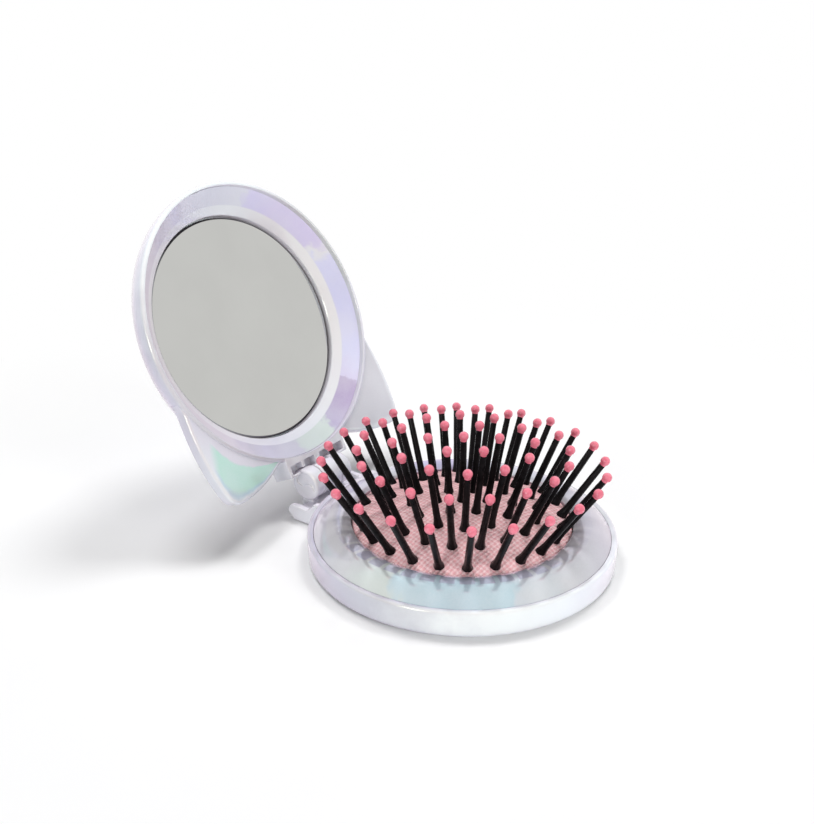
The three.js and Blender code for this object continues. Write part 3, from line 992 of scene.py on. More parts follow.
# The grey lilac towards the ear's root is painted shade and reflection.
EAR_LILAC = Pearl(
    "pearl_lilac",
    body=WHITE_PEARL,
    wash=FAINT_LILAC,
    shade_and_reflection_tints=stops((0.0, 0.26, GREY_LILAC), (0.31, 0.7, WHITE_PEARL), (0.8, 1.0, FAINT_LILAC)),
)
# high is the painted highlight on the beads' tops, low the painted shade between them.
RUBBER = WovenRubber(
    "woven_rubber", high=(255, 220, 222), low=(234, 172, 177), bead=1.6, row=1.35, turn=0.95
)
NYLON = DrawnNylon("drawn_nylon", dark=(11, 9, 10), light=(34, 30, 32))
TIP = GlossTip("glossy_tip", body=(243, 132, 152), deep=(230, 108, 131))
# The bevel's greys are painted darker reflections round the mirror's edge.
GLASS = Silvered(
    "silvered_glass",
    tone=(197, 197, 194),
    haze=(193, 193, 190),
    painted_bevel_reflections=stops(
        (0.0, IRON_GREY),
        (0.05, 0.22, DEEP_GREY),
        (0.32, MID_GREY),
        (0.42, 0.6, BRIGHT_GREY),
        (0.66, 0.75, DUSK_GREY),
        (0.82, SOFT_GREY),
        (1.0, IRON_GREY),
    ),
)
INNER_PLASTIC = PlainStuff("inner_plastic", (222, 220, 226), (206, 204, 212), grain=500.0, rough=0.42)
STEEL_WIRE = PlainStuff(
    "steel_wire",
    (188, 190, 194),
    (158, 160, 166),
    grain=900.0,
    rough=0.22,
    metallic=1.0,
    stretch=(0.05, 1, 1),
)
FOAM = PlainStuff("foam_tape", (112, 112, 112), (86, 86, 88), grain=2500.0, rough=0.8, depth=0.0002)


def dress(obj: Piece, material: bpy.types.Material) -> Piece:
    """Gives a piece its only material and reports the piece.

    Args:
        obj: The piece.
        material: Its finish.

    Returns:
        The piece.
    """
    obj.data.materials.clear()
    obj.data.materials.append(material)
    log.info("%s in %s", obj.name, material.name)
    return obj


# The brush


@dataclass
class Base:
    """The round base: its shell, the crowned collar, the hinge lug and what they hide."""

    case: Case
    rim_height: float = 6.4
    wall: float = 1.4
    floor: float = 1.6
    floor_width: float = 9.0
    foot_reach: float = 1.5
    rim_reach: float = 0.9
    edge_reach: float = 0.3
    crease_reach: float = 0.15
    crease_drop: float = 0.25
    shown_seam: float = 0.06
    collar_width: float = 8.5
    crown_share: float = 0.365
    crown_height: float = 3.05
    inner_drop: float = 0.85
    plate_drop: float = 1.3
    leg_wall: float = 1.3
    lug_half_width: float = 12.0
    lug_underside: float = 0.15
    lug_top: float = 2.8
    lug_root_height: float = 6.1
    lug_root_inset: float = 0.8
    horn_height: float = 4.0
    horn_dip: float = 3.75
    horn_width: float = 1.6
    horn_length: float = 3.6
    horn_reach: float = 1.4
    sweep_reach: float = 0.6
    saddle_reach: float = 1.9
    knuckle_round: float = 0.8
    neck_half: float = 1.8
    neck_inset: float = 1.4
    mark_depth: float = 0.4
    mark_margin: float = 0.9

    @property
    def bore(self) -> float:
        """The radius inside the shell's wall."""
        return self.case.radius - self.wall

    def shell(self) -> Piece:
        """Turns the shell's wall and its ring of floor.

        Returns:
            The shell.
        """
        radius, height = self.case.radius, self.rim_height
        opening = radius - self.floor_width
        line = trace(
            [
                Corner(opening, 0, self.edge_reach),
                Corner(radius, 0, self.foot_reach),
                Corner(radius, height, self.rim_reach),
                Corner(self.bore, height - self.crease_drop, self.crease_reach),
                Corner(self.bore, self.floor),
                Corner(opening, self.floor, self.edge_reach),
            ],
            closed=True,
            steps=8,
        )
        return turned("base_casing", line, self.case.sides, self.case.base_place, closed=True)

    def collar(self) -> Piece:
        """Turns the crowned collar that runs from the rim's crease to the cushion.

        Returns:
            The collar.
        """
        outer = self.bore - self.shown_seam
        inner = self.bore - self.case.seam - self.collar_width
        top, leg = self.rim_height + self.crown_height, outer - self.leg_wall
        crown = (inner + self.crown_share * self.collar_width, top)
        end = (inner, top - self.inner_drop)
        plate, bottom = self.rim_height - self.plate_drop, self.floor + self.case.seam
        crease = (outer, self.rim_height - self.crease_drop)
        rise = bend(crease, ((outer + crown[0]) / 2, top), crown, steps=20)
        fall = bend(crown, ((crown[0] + end[0]) / 2, top), end, steps=8)
        line = [*rise, *fall[1:], (inner, plate), (leg, plate), (leg, bottom), (outer, bottom)]
        return turned("crowned_collar", line, self.case.sides, self.case.base_place, closed=True)

    def horn_outline(self) -> list[Point]:
        """Draws the side view of a turned-up horn at the lug's end.

        Returns:
            The points of the outline, as (y, z).
        """
        radius, low, high, dip = self.case.radius, self.lug_underside, self.horn_height, self.horn_dip
        lug_end = self.case.hinge_backset + self.horn_reach
        root, root_height = self.bore - self.lug_root_inset, self.lug_root_height
        start, saddle = lug_end - self.horn_length / 2, radius + self.saddle_reach
        shoulder = (radius - self.rim_reach, root_height)
        sweep = bend(shoulder, (radius + self.sweep_reach, dip), (saddle, dip), steps=12)
        rise = bend((saddle, dip), (lug_end - self.horn_length, high), (start, high), steps=8)
        nose = bend((start, high), (lug_end, high), (lug_end, (high + low) / 2), steps=8)
        return [(root, low), (root, root_height), *sweep, *rise[1:], *nose[1:], (start, low)]

    def knuckle_mark(self) -> Piece:
        """Makes the cutter of the stepped mark on the left end of the barrel.

        Returns:
            The cutter, in millimetres.
        """
        radius = self.case.knuckle_radius - self.mark_margin
        half, lean = radius / 2, radius / 2 / math.sqrt(2)
        steps = 16

        def arc(cy: float, cz: float, r: float, first: float, last: float) -> list[Point]:
            """Points of an arc in (y, z)."""
            turns = [first + (last - first) * i / steps for i in range(steps + 1)]
            return [(cy + r * math.cos(t), cz + r * math.sin(t)) for t in turns]

        low, high = QUARTER_TURN / 2, QUARTER_TURN * 5 / 2
        outline = arc(0, 0, radius, low, high)
        outline += arc(-lean, -lean, half, high, low)[1:]
        outline += arc(lean, lean, half, high, low + FULL_TURN)[1:-1]
        y, z = self.case.hinge_backset, self.case.hinge_height
        placed = [(a + y, b + z) for a, b in outline]
        end = -self.case.barrel_half
        return prism("mark", placed, end - self.case.overrun, end + self.mark_depth)

    def knuckle(self, side: Side) -> Piece:
        """One outer knuckle of the barrel with its neck down to the lug.

        Args:
            side: The side of the brush that it is on.

        Returns:
            The knuckle, in millimetres.
        """
        y, z, edge = self.case.hinge_backset, self.case.hinge_height, self.knuckle_round
        inner, outer = self.case.middle_half + self.case.seam, self.case.barrel_half
        radius = self.case.knuckle_radius
        line = trace(
            [
                Corner(0, inner),
                Corner(radius, inner, self.case.knuckle_edge),
                Corner(radius, outer, edge),
                Corner(0, outer),
            ]
        )
        barrel = rod("knuckle", [(r, x * side.value) for r, x in line], y, z)
        first, last = sorted((side.value * (inner + edge), side.value * (outer - edge)))
        low = (first, y - self.neck_half, self.lug_top - self.neck_inset)
        return cut(barrel, slab("neck", low, (last, y + self.neck_half, z)), Cut.JOIN)

    def lug(self) -> Piece:
        """Moulds the hinge lug with its horns and the two outer knuckles.

        Returns:
            The lug.
        """
        case, half = self.case, self.lug_half_width
        low = (-half, self.bore - self.lug_root_inset, self.lug_underside)
        end = case.hinge_backset + self.horn_reach - self.horn_length / 2
        body = slab("hinge_lug", low, (half, end, self.lug_top))
        for side in Side:
            ends = sorted((side.value * (half - self.horn_width), side.value * half))
            cut(body, prism("horn", self.horn_outline(), *ends), Cut.JOIN)
            cut(body, self.knuckle(side), Cut.JOIN)
        y, z, radius = case.hinge_backset, case.hinge_height, case.pin_radius + case.seam
        ends = (case.overrun - case.barrel_half, case.overrun + case.barrel_half)
        cut(body, drum("bore", radius, ends, y, z, case.bore_sides), Cut.CARVE)
        cut(body, self.knuckle_mark(), Cut.CARVE)
        return mould(body, case.base_place)

    def build(self) -> None:
        """Builds the base's pieces and sets them on their body."""
        shell = dress(self.shell(), CASE_PEARL.material())
        lug = dress(self.lug(), HINGE_PEARL.material())
        collar = dress(self.collar(), COLLAR_PEARL.material())
        for piece in (shell, lug, collar):
            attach(piece, "base")
        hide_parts("base_shell")
        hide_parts("base_collar")
        dress(frame["nodes"]["cushion_clamp_ring"], INNER_PLASTIC.material())
        dress(frame["nodes"]["hinge_pin"], STEEL_WIRE.material())


@dataclass
class Pad:
    """The rubber cushion and its 61 ball-ended pins."""

    case: Case
    radius: float = 25.5
    edge_height: float = 8.2
    crown: float = 4.8
    edge_round: float = 0.5
    wall: float = 0.9
    skirt_wall: float = 0.9
    flange_radius: float = 30.0
    flange_top: float = 4.8
    flange_wall: float = 1.0
    node_wall: float = 1.6
    blend_heights: Point = (7.9, 9.3)
    fill: float = 0.9
    rings: int = 4
    carried_rings: int = 2
    pins_per_step: int = 6
    foot_margin: float = 2.3
    tip_splay: float = 2.3
    pin_length: float = 16.3
    tip_dome: float = 88.0
    turn: float = 5.5
    plate_wall: float = 1.0
    plate_margin: float = 0.45
    foot_radius: float = 1.3
    foot_shares: Point = (0.92, 0.96)
    foot_rise: float = 0.1
    flare_start: float = 0.35
    flare_length: float = 1.25
    flare_power: float = 1.3
    step_power: float = 1.8
    lower_radius: float = 0.86
    upper_radius: float = 0.74
    ball_radius: float = 1.1
    ball_lap_share: float = 0.6
    sleeve: float = 0.05
    sleeve_shares: Point = (0.98, 1.02)
    flutes: int = 6
    flute_depth: float = 0.07
    sides: int = 24
    cushion_sides: int = 144
    plate_sides: int = 72
    crease_angle: float = 50.0
    arcs: tuple[tuple[int, int, str], ...] = ((3, 6, "middle_pins"), (4, 12, "outer_pins"))

    @property
    def sphere(self) -> float:
        """The radius of the sphere that the cushion's top is part of."""
        return (self.radius**2 + self.crown**2) / (2 * self.crown)

    @property
    def centre(self) -> float:
        """The height of that sphere's centre."""
        return self.edge_height + self.crown - self.sphere

    @property
    def foot_spacing(self) -> float:
        """How far apart the rings of pins stand on the cushion."""
        return (self.radius - self.foot_margin) / self.rings

    @property
    def plate_sphere(self) -> float:
        """The radius of the sphere that the top of the pins' plate is part of."""
        return self.sphere - self.node_wall - self.case.seam

    @property
    def root_depth(self) -> float:
        """How far a pin goes down below the cushion's top."""
        return self.node_wall + self.case.seam + self.plate_wall / 2

    def height(self, radius: float, sphere: float) -> float:
        """The height of a sphere about the cushion's centre at a radius."""
        return self.centre + math.sqrt(sphere**2 - radius**2)

    def cushion(self) -> Piece:
        """Turns the domed cushion with its skirt and clamped flange.

        Returns:
            The cushion.
        """
        steps, side_steps, edge = 46, 4, self.radius - self.edge_round
        bore, inner = self.radius - self.skirt_wall, self.sphere - self.wall
        shares = [i / steps for i in range(steps + 1)]
        top = [(edge * share, self.height(edge * share, self.sphere)) for share in shares]
        under = [(bore * share, self.height(bore * share, inner)) for share in reversed(shares)]
        low_edge = self.height(edge, self.sphere) - self.edge_round
        lip = bend(top[-1], (self.radius, top[-1][1]), (self.radius, low_edge), steps=5)
        drop = (low_edge - self.flange_top) / side_steps
        side = [(self.radius, low_edge - drop * i) for i in range(1, side_steps + 1)]
        bottom = self.flange_top - self.flange_wall
        flange = [(self.flange_radius, self.flange_top), (self.flange_radius, bottom), (bore, bottom)]
        line = [*top, *lip[1:], *side, *flange, *under]
        place = self.case.base_place
        return turned("domed_cushion", line, self.cushion_sides, place, crease_angle=60.0)

    def pin_axis(self, ring: int, i: int) -> tuple[Vector, Vector]:
        """Where a pin stands.

        Args:
            ring: The ring's number, 0 for the pin in the middle.
            i: The pin's number in its ring.

        Returns:
            The foot on the cushion and the ball's centre.
        """
        angle = math.radians(self.turn) + (i * FULL_TURN / (ring * self.pins_per_step) if ring else 0)
        around = Vector((math.cos(angle), math.sin(angle), 0))
        foot_radius, tip_radius = ring * self.foot_spacing, ring * (self.foot_spacing + self.tip_splay)
        drop = self.tip_dome - math.sqrt(self.tip_dome**2 - tip_radius**2)
        foot, tip = around * foot_radius, around * tip_radius
        foot.z = self.height(foot_radius, self.sphere)
        tip.z = self.edge_height + self.crown + self.pin_length - drop
        return foot, tip

    def shaft_line(self, length: float) -> list[Point]:
        """Draws the profile of a shaft: a trumpet foot and a slow taper to the ball.

        Args:
            length: From the cushion's top to the ball's centre.

        Returns:
            The points of the profile.
        """
        low, high = (self.foot_radius * share for share in self.foot_shares)
        line = [(0.0, -self.root_depth), (low, -self.root_depth), (high, self.foot_rise)]
        steps, start, top = 12, self.flare_start, length - self.ball_radius * self.ball_lap_share
        for i in range(steps + 1):
            height = start + (top - start) * (i / steps) ** self.step_power
            stem = self.lower_radius + (self.upper_radius - self.lower_radius) * height / top
            fall = math.exp(-((height / self.flare_length) ** self.flare_power))
            line.append((stem + (self.foot_radius - self.lower_radius) * fall, height))
        return line + [(0.0, top)]

    def ball_line(self, length: float) -> list[Point]:
        """Draws the profile of a dipped ball: a short sleeve on the shaft and a full round.

        Args:
            length: From the cushion's top to the ball's centre.

        Returns:
            The points of the profile.
        """
        radius, neck = self.ball_radius, self.upper_radius + self.sleeve
        narrow, deep = self.sleeve_shares
        low = length - radius * deep
        line = [(0.0, low), (neck * narrow, low)]
        steps, first = 14, math.asin(neck / radius)
        for i in range(steps):
            angle = math.pi - first - (math.pi - first) * i / steps
            line.append((radius * math.sin(angle), length + radius * math.cos(angle)))
        return line + [(0.0, length + radius)]

    def standing(self, foot: Vector, tip: Vector) -> Matrix:
        """Sets a form drawn along Z from the foot on the pin's axis."""
        turn: Quaternion = (tip - foot).to_track_quat("Z", "Y")
        return self.case.base_place @ Matrix.Translation(foot) @ turn.to_matrix().to_4x4()

    def root_radius(self, ring: int) -> float:
        """How far out a ring's pins enter the plate under the cushion.

        Args:
            ring: The ring's number.

        Returns:
            The radius.
        """
        foot, tip = self.pin_axis(ring, 0)
        axis = (tip - foot).normalized()
        return ring * self.foot_spacing - self.root_depth * math.hypot(axis.x, axis.y)

    def plate_line(self, low: float, high: float, spans: int) -> list[Point]:
        """The closed cross-section of the pins' plate between two radii.

        Args:
            low: The inner radius.
            high: The outer radius.
            spans: How many pieces each face has.

        Returns:
            The section's points, out along the top and back below.
        """
        radii = [low + (high - low) * i / spans for i in range(spans + 1)]
        top = [(r, self.height(r, self.plate_sphere)) for r in radii]
        return top + [(r, self.height(r, self.plate_sphere - self.plate_wall)) for r in reversed(radii)]

    def stand(self, places: Sequence[tuple[int, int]]) -> tuple[Skin, Skin]:
        """Turns the shafts and the balls of some pins.

        Args:
            places: The ring and number of each pin.

        Returns:
            The mesh of the shafts and the mesh of the balls.
        """
        shafts, balls = Skin(), Skin()
        for ring, i in places:
            foot, tip = self.pin_axis(ring, i)
            length, place = (tip - foot).length, self.standing(foot, tip)
            line = self.shaft_line(length)
            shafts.turn(line, self.sides, place, flutes=self.flutes, flute_depth=self.flute_depth)
            balls.turn(self.ball_line(length), self.sides, place)
        return shafts, balls

    def arc(self, ring: int, count: int, k: int) -> tuple[Skin, Skin]:
        """Turns the pins of one arc of an outer ring, with their slice of plate.

        Args:
            ring: The ring's number.
            count: How many arcs the ring has.
            k: The arc's number, from 0.

        Returns:
            The mesh of the shafts with their plate, and the mesh of the balls.
        """
        per_arc = ring * self.pins_per_step // count
        shafts, balls = self.stand([(ring, k * per_arc + i) for i in range(per_arc)])
        step = FULL_TURN / (ring * self.pins_per_step)
        middle = math.radians(self.turn) + step * (k * per_arc + (per_arc - 1) / 2)
        centre, half = self.root_radius(ring), self.foot_radius + self.plate_margin
        spread = math.pi / count - (self.case.seam + self.plate_margin) / centre
        line, turns = self.plate_line(centre - half, centre + half, spans=4), 10
        rows = []
        for i in range(turns + 1):
            angle = middle - spread + 2 * spread * i / turns
            rows.append([Vector((r * math.cos(angle), r * math.sin(angle), z)) for r, z in line])
        shafts.loft(rows, self.case.base_place)
        return shafts, balls

    def inner(self) -> tuple[Skin, Skin]:
        """Turns the middle pins with their round carrier plate.

        Returns:
            The mesh of the shafts with their plate, and the mesh of the balls.
        """
        counts = [max(1, ring * self.pins_per_step) for ring in range(self.carried_rings + 1)]
        shafts, balls = self.stand([(ring, i) for ring, count in enumerate(counts) for i in range(count)])
        edge = self.root_radius(self.carried_rings) + self.foot_radius + self.plate_margin
        shafts.turn(self.plate_line(0.0, edge, spans=8), self.plate_sides, self.case.base_place)
        return shafts, balls

    def build(self) -> None:
        """Builds the cushion and the pins and sets the pins on their bodies."""
        cushion = dress(self.cushion(), RUBBER.material())
        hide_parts("bristle_cushion")
        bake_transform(cushion)
        nylon, tip = NYLON.material(), TIP.material()
        groups = [("inner_pins", "bristle_pad", self.inner())]
        for ring, count, stem in self.arcs:
            for k in range(count):
                node = f"{stem}_{k + 1}"
                groups.append((node, f"{node}_arc", self.arc(ring, count, k)))
        for node, body, (shaft_skin, ball_skin) in groups:
            shafts = dress(shaft_skin.piece(f"{node}_shafts", self.crease_angle), nylon)
            balls = dress(ball_skin.piece(f"{node}_balls", self.crease_angle), tip)
            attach(shafts, body)
            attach(balls, body)
            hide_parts(node)


@dataclass
class Lid:
    """The lid: its casing with two ears and the hinge boss, the mirror and its frame."""

    case: Case
    rim_wall: float = 1.1
    rim_reach: float = 0.9
    lip_depth: float = 1.0
    lip_reach: float = 0.25
    depth: float = 10.6
    side_depth: float = 1.0
    back_round: float = 7.7
    dome_sag: float = 0.8
    cavity_depth: float = 9.1
    seat_depth: float = 8.5
    seat_radius: float = 30.6
    pad_radius: float = 25.7
    pad_top: float = 8.5
    pad_wall: float = 0.3
    pad_reach: float = 0.12
    pad_fill: float = 0.8
    band_width: float = 5.0
    band_start: float = 1.3
    band_hollow: float = 0.35
    band_reach: float = 0.35
    bezel_width: float = 2.0
    bezel_fall: float = 1.7
    bezel_lip: float = 1.0
    bezel_reach: float = 0.3
    mirror_depth: float = 7.2
    mirror_wall: float = 1.0
    mirror_bevel: float = 0.5
    frame_edge_wall: float = 1.6
    shown_seam: float = 0.05
    ear_start: float = 21.5
    ear_end: float = 70.8
    ear_bulge_shares: Point = (0.982, 0.7)
    ear_side_end_shares: Point = (0.915, 0.965)
    ear_tip_shares: Point = (0.895, 1.056)
    ear_tip_end_shares: Point = (0.8, 1.057)
    ear_foot_shares: Point = (0.556, 1.054)
    ear_lean: float = 0.21
    ear_face: float = 0.45
    ear_wall: float = 3.6
    ear_round: float = 0.8
    ear_fillet: float = 3.0
    ear_fillet_steps: int = 4
    ear_root_radius: float = 35.1
    boss_root: float = 3.0
    boss_half: float = 10.8
    boss_length: float = 2.9
    boss_depth: float = 6.0
    boss_rib: float = 0.9
    pocket_depth: float = 2.6
    pocket_length: float = 2.2
    arm_wall: float = 5.1
    arm_lap: float = 0.1
    arm_share: float = 0.86
    room_gap: float = 0.15

    def casing(self) -> Piece:
        """Turns the lid's rim, wall and domed back.

        Returns:
            The casing.
        """
        radius, seam = self.case.radius, self.case.seam
        bore, edge = radius - self.rim_wall, radius - self.back_round
        rim = trace(
            [
                Corner(bore, self.lip_depth),
                Corner(bore, 0, self.lip_reach),
                Corner(radius, 0, self.rim_reach),
                Corner(radius, self.side_depth),
            ],
            steps=8,
        )
        rise, wall_steps, crown_steps = self.depth - self.dome_sag - self.side_depth, 24, 12
        wall = []
        for i in range(1, wall_steps + 1):
            angle = QUARTER_TURN * i / wall_steps
            across = self.back_round * (1 - math.cos(angle))
            wall.append((radius - across, self.side_depth + rise * math.sin(angle)))
        shares = [1 - i / crown_steps for i in range(1, crown_steps)]
        crown = [(edge * share, self.depth - self.dome_sag * share**2) for share in shares]
        pad, seat = self.pad_radius + seam, self.seat_radius + seam
        inside = [(0.0, self.cavity_depth), (pad, self.cavity_depth), (pad, self.seat_depth)]
        inside += [(seat, self.seat_depth), (bore, self.band_start + self.frame_edge_wall + seam)]
        line = [*inside, *rim, *wall, *crown, (0.0, self.depth)]
        return turned("lid_casing", line, self.case.sides, self.case.lid_place)

    def on_case(self, share: Point) -> Point:
        """A point given as shares of the case's radius."""
        return share[0] * self.case.radius, share[1] * self.case.radius

    def on_wall(self, degrees: float) -> Point:
        """A point of the case's wall at an angle."""
        return self.on_case((math.cos(math.radians(degrees)), math.sin(math.radians(degrees))))

    def ear_edge(self) -> list[Point]:
        """Draws the ear's free edge, from the wall round the tip and back, eased into the wall.

        Returns:
            The edge's points.
        """
        side_end, tip_end = self.on_case(self.ear_side_end_shares), self.on_case(self.ear_tip_end_shares)
        side = bend(self.on_wall(self.ear_start), self.on_case(self.ear_bulge_shares), side_end, steps=40)
        tip = bend(side_end, self.on_case(self.ear_tip_shares), tip_end, steps=24)
        foot = bend(tip_end, self.on_case(self.ear_foot_shares), self.on_wall(self.ear_end), steps=40)
        first = self.on_wall(self.ear_start - self.ear_fillet)
        last = self.on_wall(self.ear_end + self.ear_fillet)
        lap = self.ear_fillet_steps
        into = bend(first, side[0], side[lap], steps=8)
        out = bend(foot[-lap - 1], foot[-1], last, steps=8)
        return [*into, *side[lap + 1 :], *tip[1:], *foot[1 : -lap - 1], *out]

    def ear_section(self, root: Vector, edge: Vector, inward: Vector) -> list[Vector]:
        """The closed cross-section of an ear between its root and its edge.

        Args:
            root: The point inside the lid's wall.
            edge: The point on the ear's outline.
            inward: The direction from the outline to the ear's inside.

        Returns:
            The section's points, down the front, round the edge and back.
        """
        across, round_steps, reach = 14, 8, self.ear_round
        shoulder = edge + inward * reach
        if shoulder.length < root.length:
            shoulder = root.copy()
        front = [(root.lerp(shoulder, i / across), 0.0) for i in range(across)]
        for i in range(round_steps + 1):
            angle = QUARTER_TURN * i / round_steps
            front.append((shoulder.lerp(edge, math.sin(angle)), reach * (1 - math.cos(angle))))
        back = [(point, self.ear_wall - fall) for point, fall in reversed(front)]
        section = []
        for point, fall in [*front, *back]:
            outside = max(0.0, point.length - self.case.radius)
            section.append(Vector((point.x, point.y, self.ear_face + fall - self.ear_lean * outside)))
        return section

    def ear(self, side: Side) -> Piece:
        """Makes one leaf-shaped ear with rounded edges.

        Args:
            side: The side of the lid that it is on.

        Returns:
            The ear.
        """
        edge = [Vector(p) for p in self.ear_edge()]
        last = len(edge) - 1
        first, sweep = self.ear_start - self.ear_fillet, self.ear_end - self.ear_start + 2 * self.ear_fillet
        rows = []
        for i, point in enumerate(edge):
            along = (edge[min(i + 1, last)] - edge[max(i - 1, 0)]).normalized()
            turn = math.radians(first + i / last * sweep)
            root = Vector((math.cos(turn), math.sin(turn))) * self.ear_root_radius
            section = self.ear_section(root, point, Vector((-along.y, along.x)))
            rows.append([Vector((v.x * side.value, v.y, v.z)) for v in section])
        skin = Skin()
        skin.loft(rows, self.case.lid_place)
        return skin.piece(f"ear_{side.name.lower()}", crease_angle=60.0)

    def boss(self) -> Piece:
        """Moulds the hinge boss with its pockets, the arm and the middle knuckle.

        Returns:
            The boss.
        """
        case, half = self.case, self.boss_half
        middle, knuckle = case.middle_half, case.knuckle_radius
        y, z = case.hinge_backset, case.hinge_height - case.lid_rim_height
        root, near, edge = case.radius - self.boss_root, y - knuckle / 2, case.knuckle_edge
        body = slab("hinge_boss", (-half, root, 0), (half, case.radius + self.boss_length, self.boss_depth))
        clear, over = case.barrel_half + case.seam, case.overrun
        cut(body, drum("clear", knuckle + case.seam, (-clear, clear), y, z), Cut.CARVE)
        rounds = [Corner(knuckle, -middle, edge), Corner(knuckle, middle, edge)]
        line = trace([Corner(0, -middle), *rounds, Corner(0, middle)])
        cut(body, rod("barrel", line, y, z), Cut.JOIN)
        cut(body, slab("arm", (-middle, root, z), (middle, near, z + self.arm_wall)), Cut.JOIN)
        top = (middle, y, z + knuckle * self.arm_share)
        cut(body, slab("upper", (-middle, near - self.arm_lap, z), top), Cut.JOIN)
        for tool in self.pockets():
            cut(body, tool, Cut.CARVE)
        ends = (-case.barrel_half - over, case.barrel_half + over)
        cut(body, drum("bore", case.pin_radius + case.seam, ends, y, z, case.bore_sides), Cut.CARVE)
        room, far = case.radius - self.rim_wall + self.room_gap, self.boss_depth + over
        line = [(0, -over), (room, -over), (room, far), (0, far)]
        cut(body, turned("room", line, case.plain_sides, Matrix()), Cut.CARVE)
        return mould(body, case.lid_place)

    def pockets(self) -> list[Piece]:
        """Makes the cutters of the relief pockets between the boss's ribs.

        Returns:
            The cutters, in millimetres.
        """
        low = self.case.radius + self.shown_seam
        half, rib = self.boss_half / 2, self.boss_rib
        tools = []
        for side in Side:
            for span in ((rib, half - rib / 2), (half + rib / 2, self.boss_half - rib)):
                first, last = sorted(side.value * x for x in span)
                far = (last, low + self.pocket_length, self.pocket_depth)
                tools.append(slab("pocket", (first, low, -self.case.overrun), far))
        return tools

    def mirror_frame(self) -> Piece:
        """Turns the hollow band and the bezel round the mirror.

        Returns:
            The frame.
        """
        outer = self.case.radius - self.rim_wall - self.shown_seam
        band_end = self.case.radius - self.band_width
        bezel = band_end - self.bezel_width
        bezel_depth = self.mirror_depth - self.bezel_lip
        band_depth = bezel_depth - self.bezel_fall
        start, end, hollow = (outer, self.band_start), (band_end, band_depth), self.band_hollow
        control = ((outer + band_end) / 2 - hollow, (self.band_start + band_depth) / 2 + hollow)
        band = bend(start, control, end, steps=16)
        back = self.mirror_depth + self.mirror_wall
        fall = trace(
            [
                Corner(*band[-2]),
                Corner(*end, self.band_reach),
                Corner(bezel, bezel_depth, self.bezel_reach),
                Corner(bezel, back),
                Corner(self.seat_radius, back),
                Corner(outer, self.band_start + self.frame_edge_wall),
            ],
            steps=6,
        )
        line, place = [*band[:-2], *fall], self.case.lid_place
        return turned("mirror_frame_ring", line, self.case.sides, place, closed=True, crease_angle=50.0)

    def glass(self) -> Piece:
        """Turns the round mirror with its bevelled edge.

        Returns:
            The mirror.
        """
        radius = self.case.radius - self.band_width - self.bezel_width - self.case.seam
        front, back = self.mirror_depth, self.mirror_depth + self.mirror_wall
        line = [(0.0, front), (radius - self.mirror_bevel, front), (radius, front + self.mirror_bevel)]
        line += [(radius, back), (0.0, back)]
        return turned("bevelled_mirror", line, self.case.sides, self.case.lid_place, crease_angle=10.0)

    def foam(self) -> Piece:
        """Turns the foam pad that sticks the mirror to the lid.

        Returns:
            The foam pad.
        """
        low, high, radius = self.pad_top, self.pad_top + self.pad_wall, self.pad_radius
        rounds = [Corner(radius, low, self.pad_reach), Corner(radius, high, self.pad_reach)]
        line = trace([Corner(0, low), *rounds, Corner(0, high)])
        return turned("foam_pad", line, self.case.plain_sides, self.case.lid_place)

    def build(self) -> None:
        """Builds the lid's pieces and sets them on their body."""
        casing = dress(self.casing(), CASE_PEARL.material())
        boss = dress(self.boss(), HINGE_PEARL.material())
        left = dress(self.ear(Side.LEFT), EAR_MINT.material())
        right = dress(self.ear(Side.RIGHT), EAR_LILAC.material())
        ring = dress(self.mirror_frame(), BAND_PEARL.material())
        glass = dress(self.glass(), GLASS.material())
        foam = dress(self.foam(), FOAM.material())
        for piece in (casing, boss, left, right, ring, glass, foam):
            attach(piece, "lid")
        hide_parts("lid_shell")
        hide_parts("mirror_frame")
        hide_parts("mirror_glass")
        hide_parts("mirror_backing_pad")


# The studio


@dataclass(frozen=True)
class Lamp:
    """A soft round lamp; its place and size are in metres and its power in watts."""

    name: str
    place: Place
    size: float
    power: float
    mirrored: bool = False
    aim_height: float = 0.02

    def hang(self, centre: Vector) -> None:
        """Hangs the lamp, facing the brush.

        Args:
            centre: The centre of the brush's base.
        """
        data = bpy.data.lights.new(self.name, "AREA")
        data.shape, data.size, data.energy = "DISK", self.size, self.power
        lamp = bpy.data.objects.new(self.name, data)
        bpy.context.scene.collection.objects.link(lamp)
        lamp.visible_glossy = self.mirrored
        lamp.location = Vector(self.place) + centre
        lamp.rotation_mode = "QUATERNION"
        ahead = Vector((0, 0, self.aim_height)) - Vector(self.place)
        lamp.rotation_quaternion = ahead.to_track_quat("-Z", "Y")


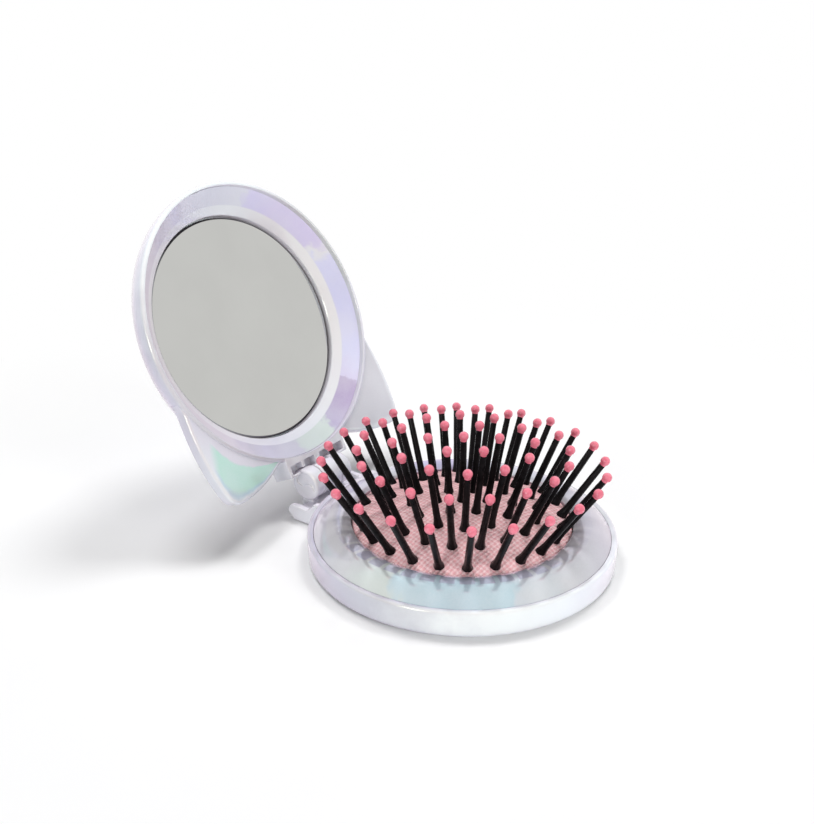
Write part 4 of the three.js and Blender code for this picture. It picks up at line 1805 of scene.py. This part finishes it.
@dataclass
class Studio:
    """The camera, the pale floor and the soft lights."""

    case: Case
    camera_from_base: Place = (-180.27, -111.83, 124.39)
    heading: float = 35.28
    fall: float = 22.84
    roll: float = 0.16
    focal_pixels: float = 1029.19
    picture_height: float = 824.0
    sensor: float = 36.0
    clip: Point = (0.01, 50.0)
    floor_reach: float = 4.0
    floor_sides: int = 96
    floor_shares: tuple[float, ...] = (0.02, 0.05, 0.1, 0.3, 1.0)
    floor_drop: float = 0.00005
    floor_colours: tuple[Colour, Colour] = ((243, 243, 244), (246, 246, 246))
    floor_lift: float = 0.01
    far_light: float = 0.8
    clean_reach: Point = (0.09, 0.18)
    surround: float = 0.23
    lamps: tuple[Lamp, ...] = (
        Lamp("overhead_right", (0.37, -0.02, 0.8), size=0.3, power=3.0),
        Lamp("overhead_left", (0.06, 0.34, 0.82), size=0.3, power=3.1),
        Lamp("front", (-0.05, -0.85, 0.28), size=0.4, power=3.1),
        Lamp("left", (-0.85, -0.02, 0.25), size=0.28, power=2.1, mirrored=True),
    )

    def camera(self) -> None:
        """Sets up the camera where the photograph's camera stood."""
        data = bpy.data.cameras.new("camera")
        data.sensor_width = self.sensor
        data.lens = self.sensor * self.focal_pixels / self.picture_height
        data.clip_start, data.clip_end = self.clip
        camera = bpy.data.objects.new("camera", data)
        bpy.context.scene.collection.objects.link(camera)
        heading, fall = math.radians(self.heading), math.radians(self.fall)
        level = math.cos(fall)
        ahead = Vector((math.cos(heading) * level, math.sin(heading) * level, -math.sin(fall)))
        turn = ahead.to_track_quat("-Z", "Y") @ Quaternion((0, 0, 1), math.radians(self.roll))
        camera.rotation_mode = "QUATERNION"
        camera.rotation_quaternion = turn
        camera.location = self.case.base_place @ Vector(self.camera_from_base)
        bpy.context.scene.camera = camera

    def floor(self) -> None:
        """Lays a pale floor that is white to the camera but keeps the object's shadow."""
        centre = Matrix.Translation((0, self.case.base_place.translation.y, -self.floor_drop))
        line = [(0.0, 0.0), *((self.floor_reach * share, 0.0) for share in self.floor_shares)]
        floor = turned("floor", line, self.floor_sides, centre)
        wires = Wiring("pale_floor")
        place, seen = wires.at("Object"), wires.seen()
        grain = wires.mix(wires.noise(place, scale=30.0), *map(paint, self.floor_colours))
        wires.set(Base_Color=grain, Roughness=0.9, Specular_IOR_Level=0.1)
        glow = {"Color": WHITE, "Strength": wires.sums("MULTIPLY", seen, self.floor_lift)}
        plain = {"Color": WHITE, "Strength": wires.spread(seen, 0.0, 1.0, self.far_light, 1.0)}
        lift, far = (wires.node("ShaderNodeEmission", inputs) for inputs in (glow, plain))
        near = wires.node("ShaderNodeAddShader", {0: wires.shader.outputs[0], 1: lift.outputs[0]})
        apart = wires.node("ShaderNodeVectorMath", {0: place}, operation="LENGTH")
        away = wires.spread(apart.outputs["Value"], *self.clean_reach)
        both = wires.node("ShaderNodeMixShader", {0: away, 1: near.outputs[0], 2: far.outputs[0]})
        wires.feed(wires.tree.nodes["Material Output"].inputs["Surface"], both.outputs[0])
        floor.data.materials.append(wires.material)

    def world(self) -> None:
        """A white surround that lights the object softly."""
        world = bpy.data.worlds.new("surround")
        world.use_nodes = True
        bpy.context.scene.world = world
        nodes = Nodes(world.node_tree)
        background = nodes.tree.nodes["Background"].inputs
        nodes.feed(background["Color"], WHITE)
        nodes.feed(background["Strength"], nodes.spread(nodes.seen(), 0.0, 1.0, self.surround, 1.0))

    def build(self) -> None:
        """Builds the floor, the surround and the lamps."""
        bpy.context.scene.view_settings.view_transform = "Standard"
        self.floor()
        self.world()
        for lamp in self.lamps:
            lamp.hang(self.case.base_place.translation)


def main() -> None:
    """Builds the camera, the brush and the studio in order."""
    logging.basicConfig(level=logging.INFO, format="%(name)s: %(message)s")
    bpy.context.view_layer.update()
    hinge = next(joint for joint in frame["joints"] if joint["name"] == "lid_hinge")
    case = Case(hinge=Vector(hinge["pos_m"]))
    studio = Studio(case)
    studio.camera()
    Base(case).build()
    Pad(case).build()
    Lid(case).build()
    studio.build()


if __name__ == "__main__":
    main()
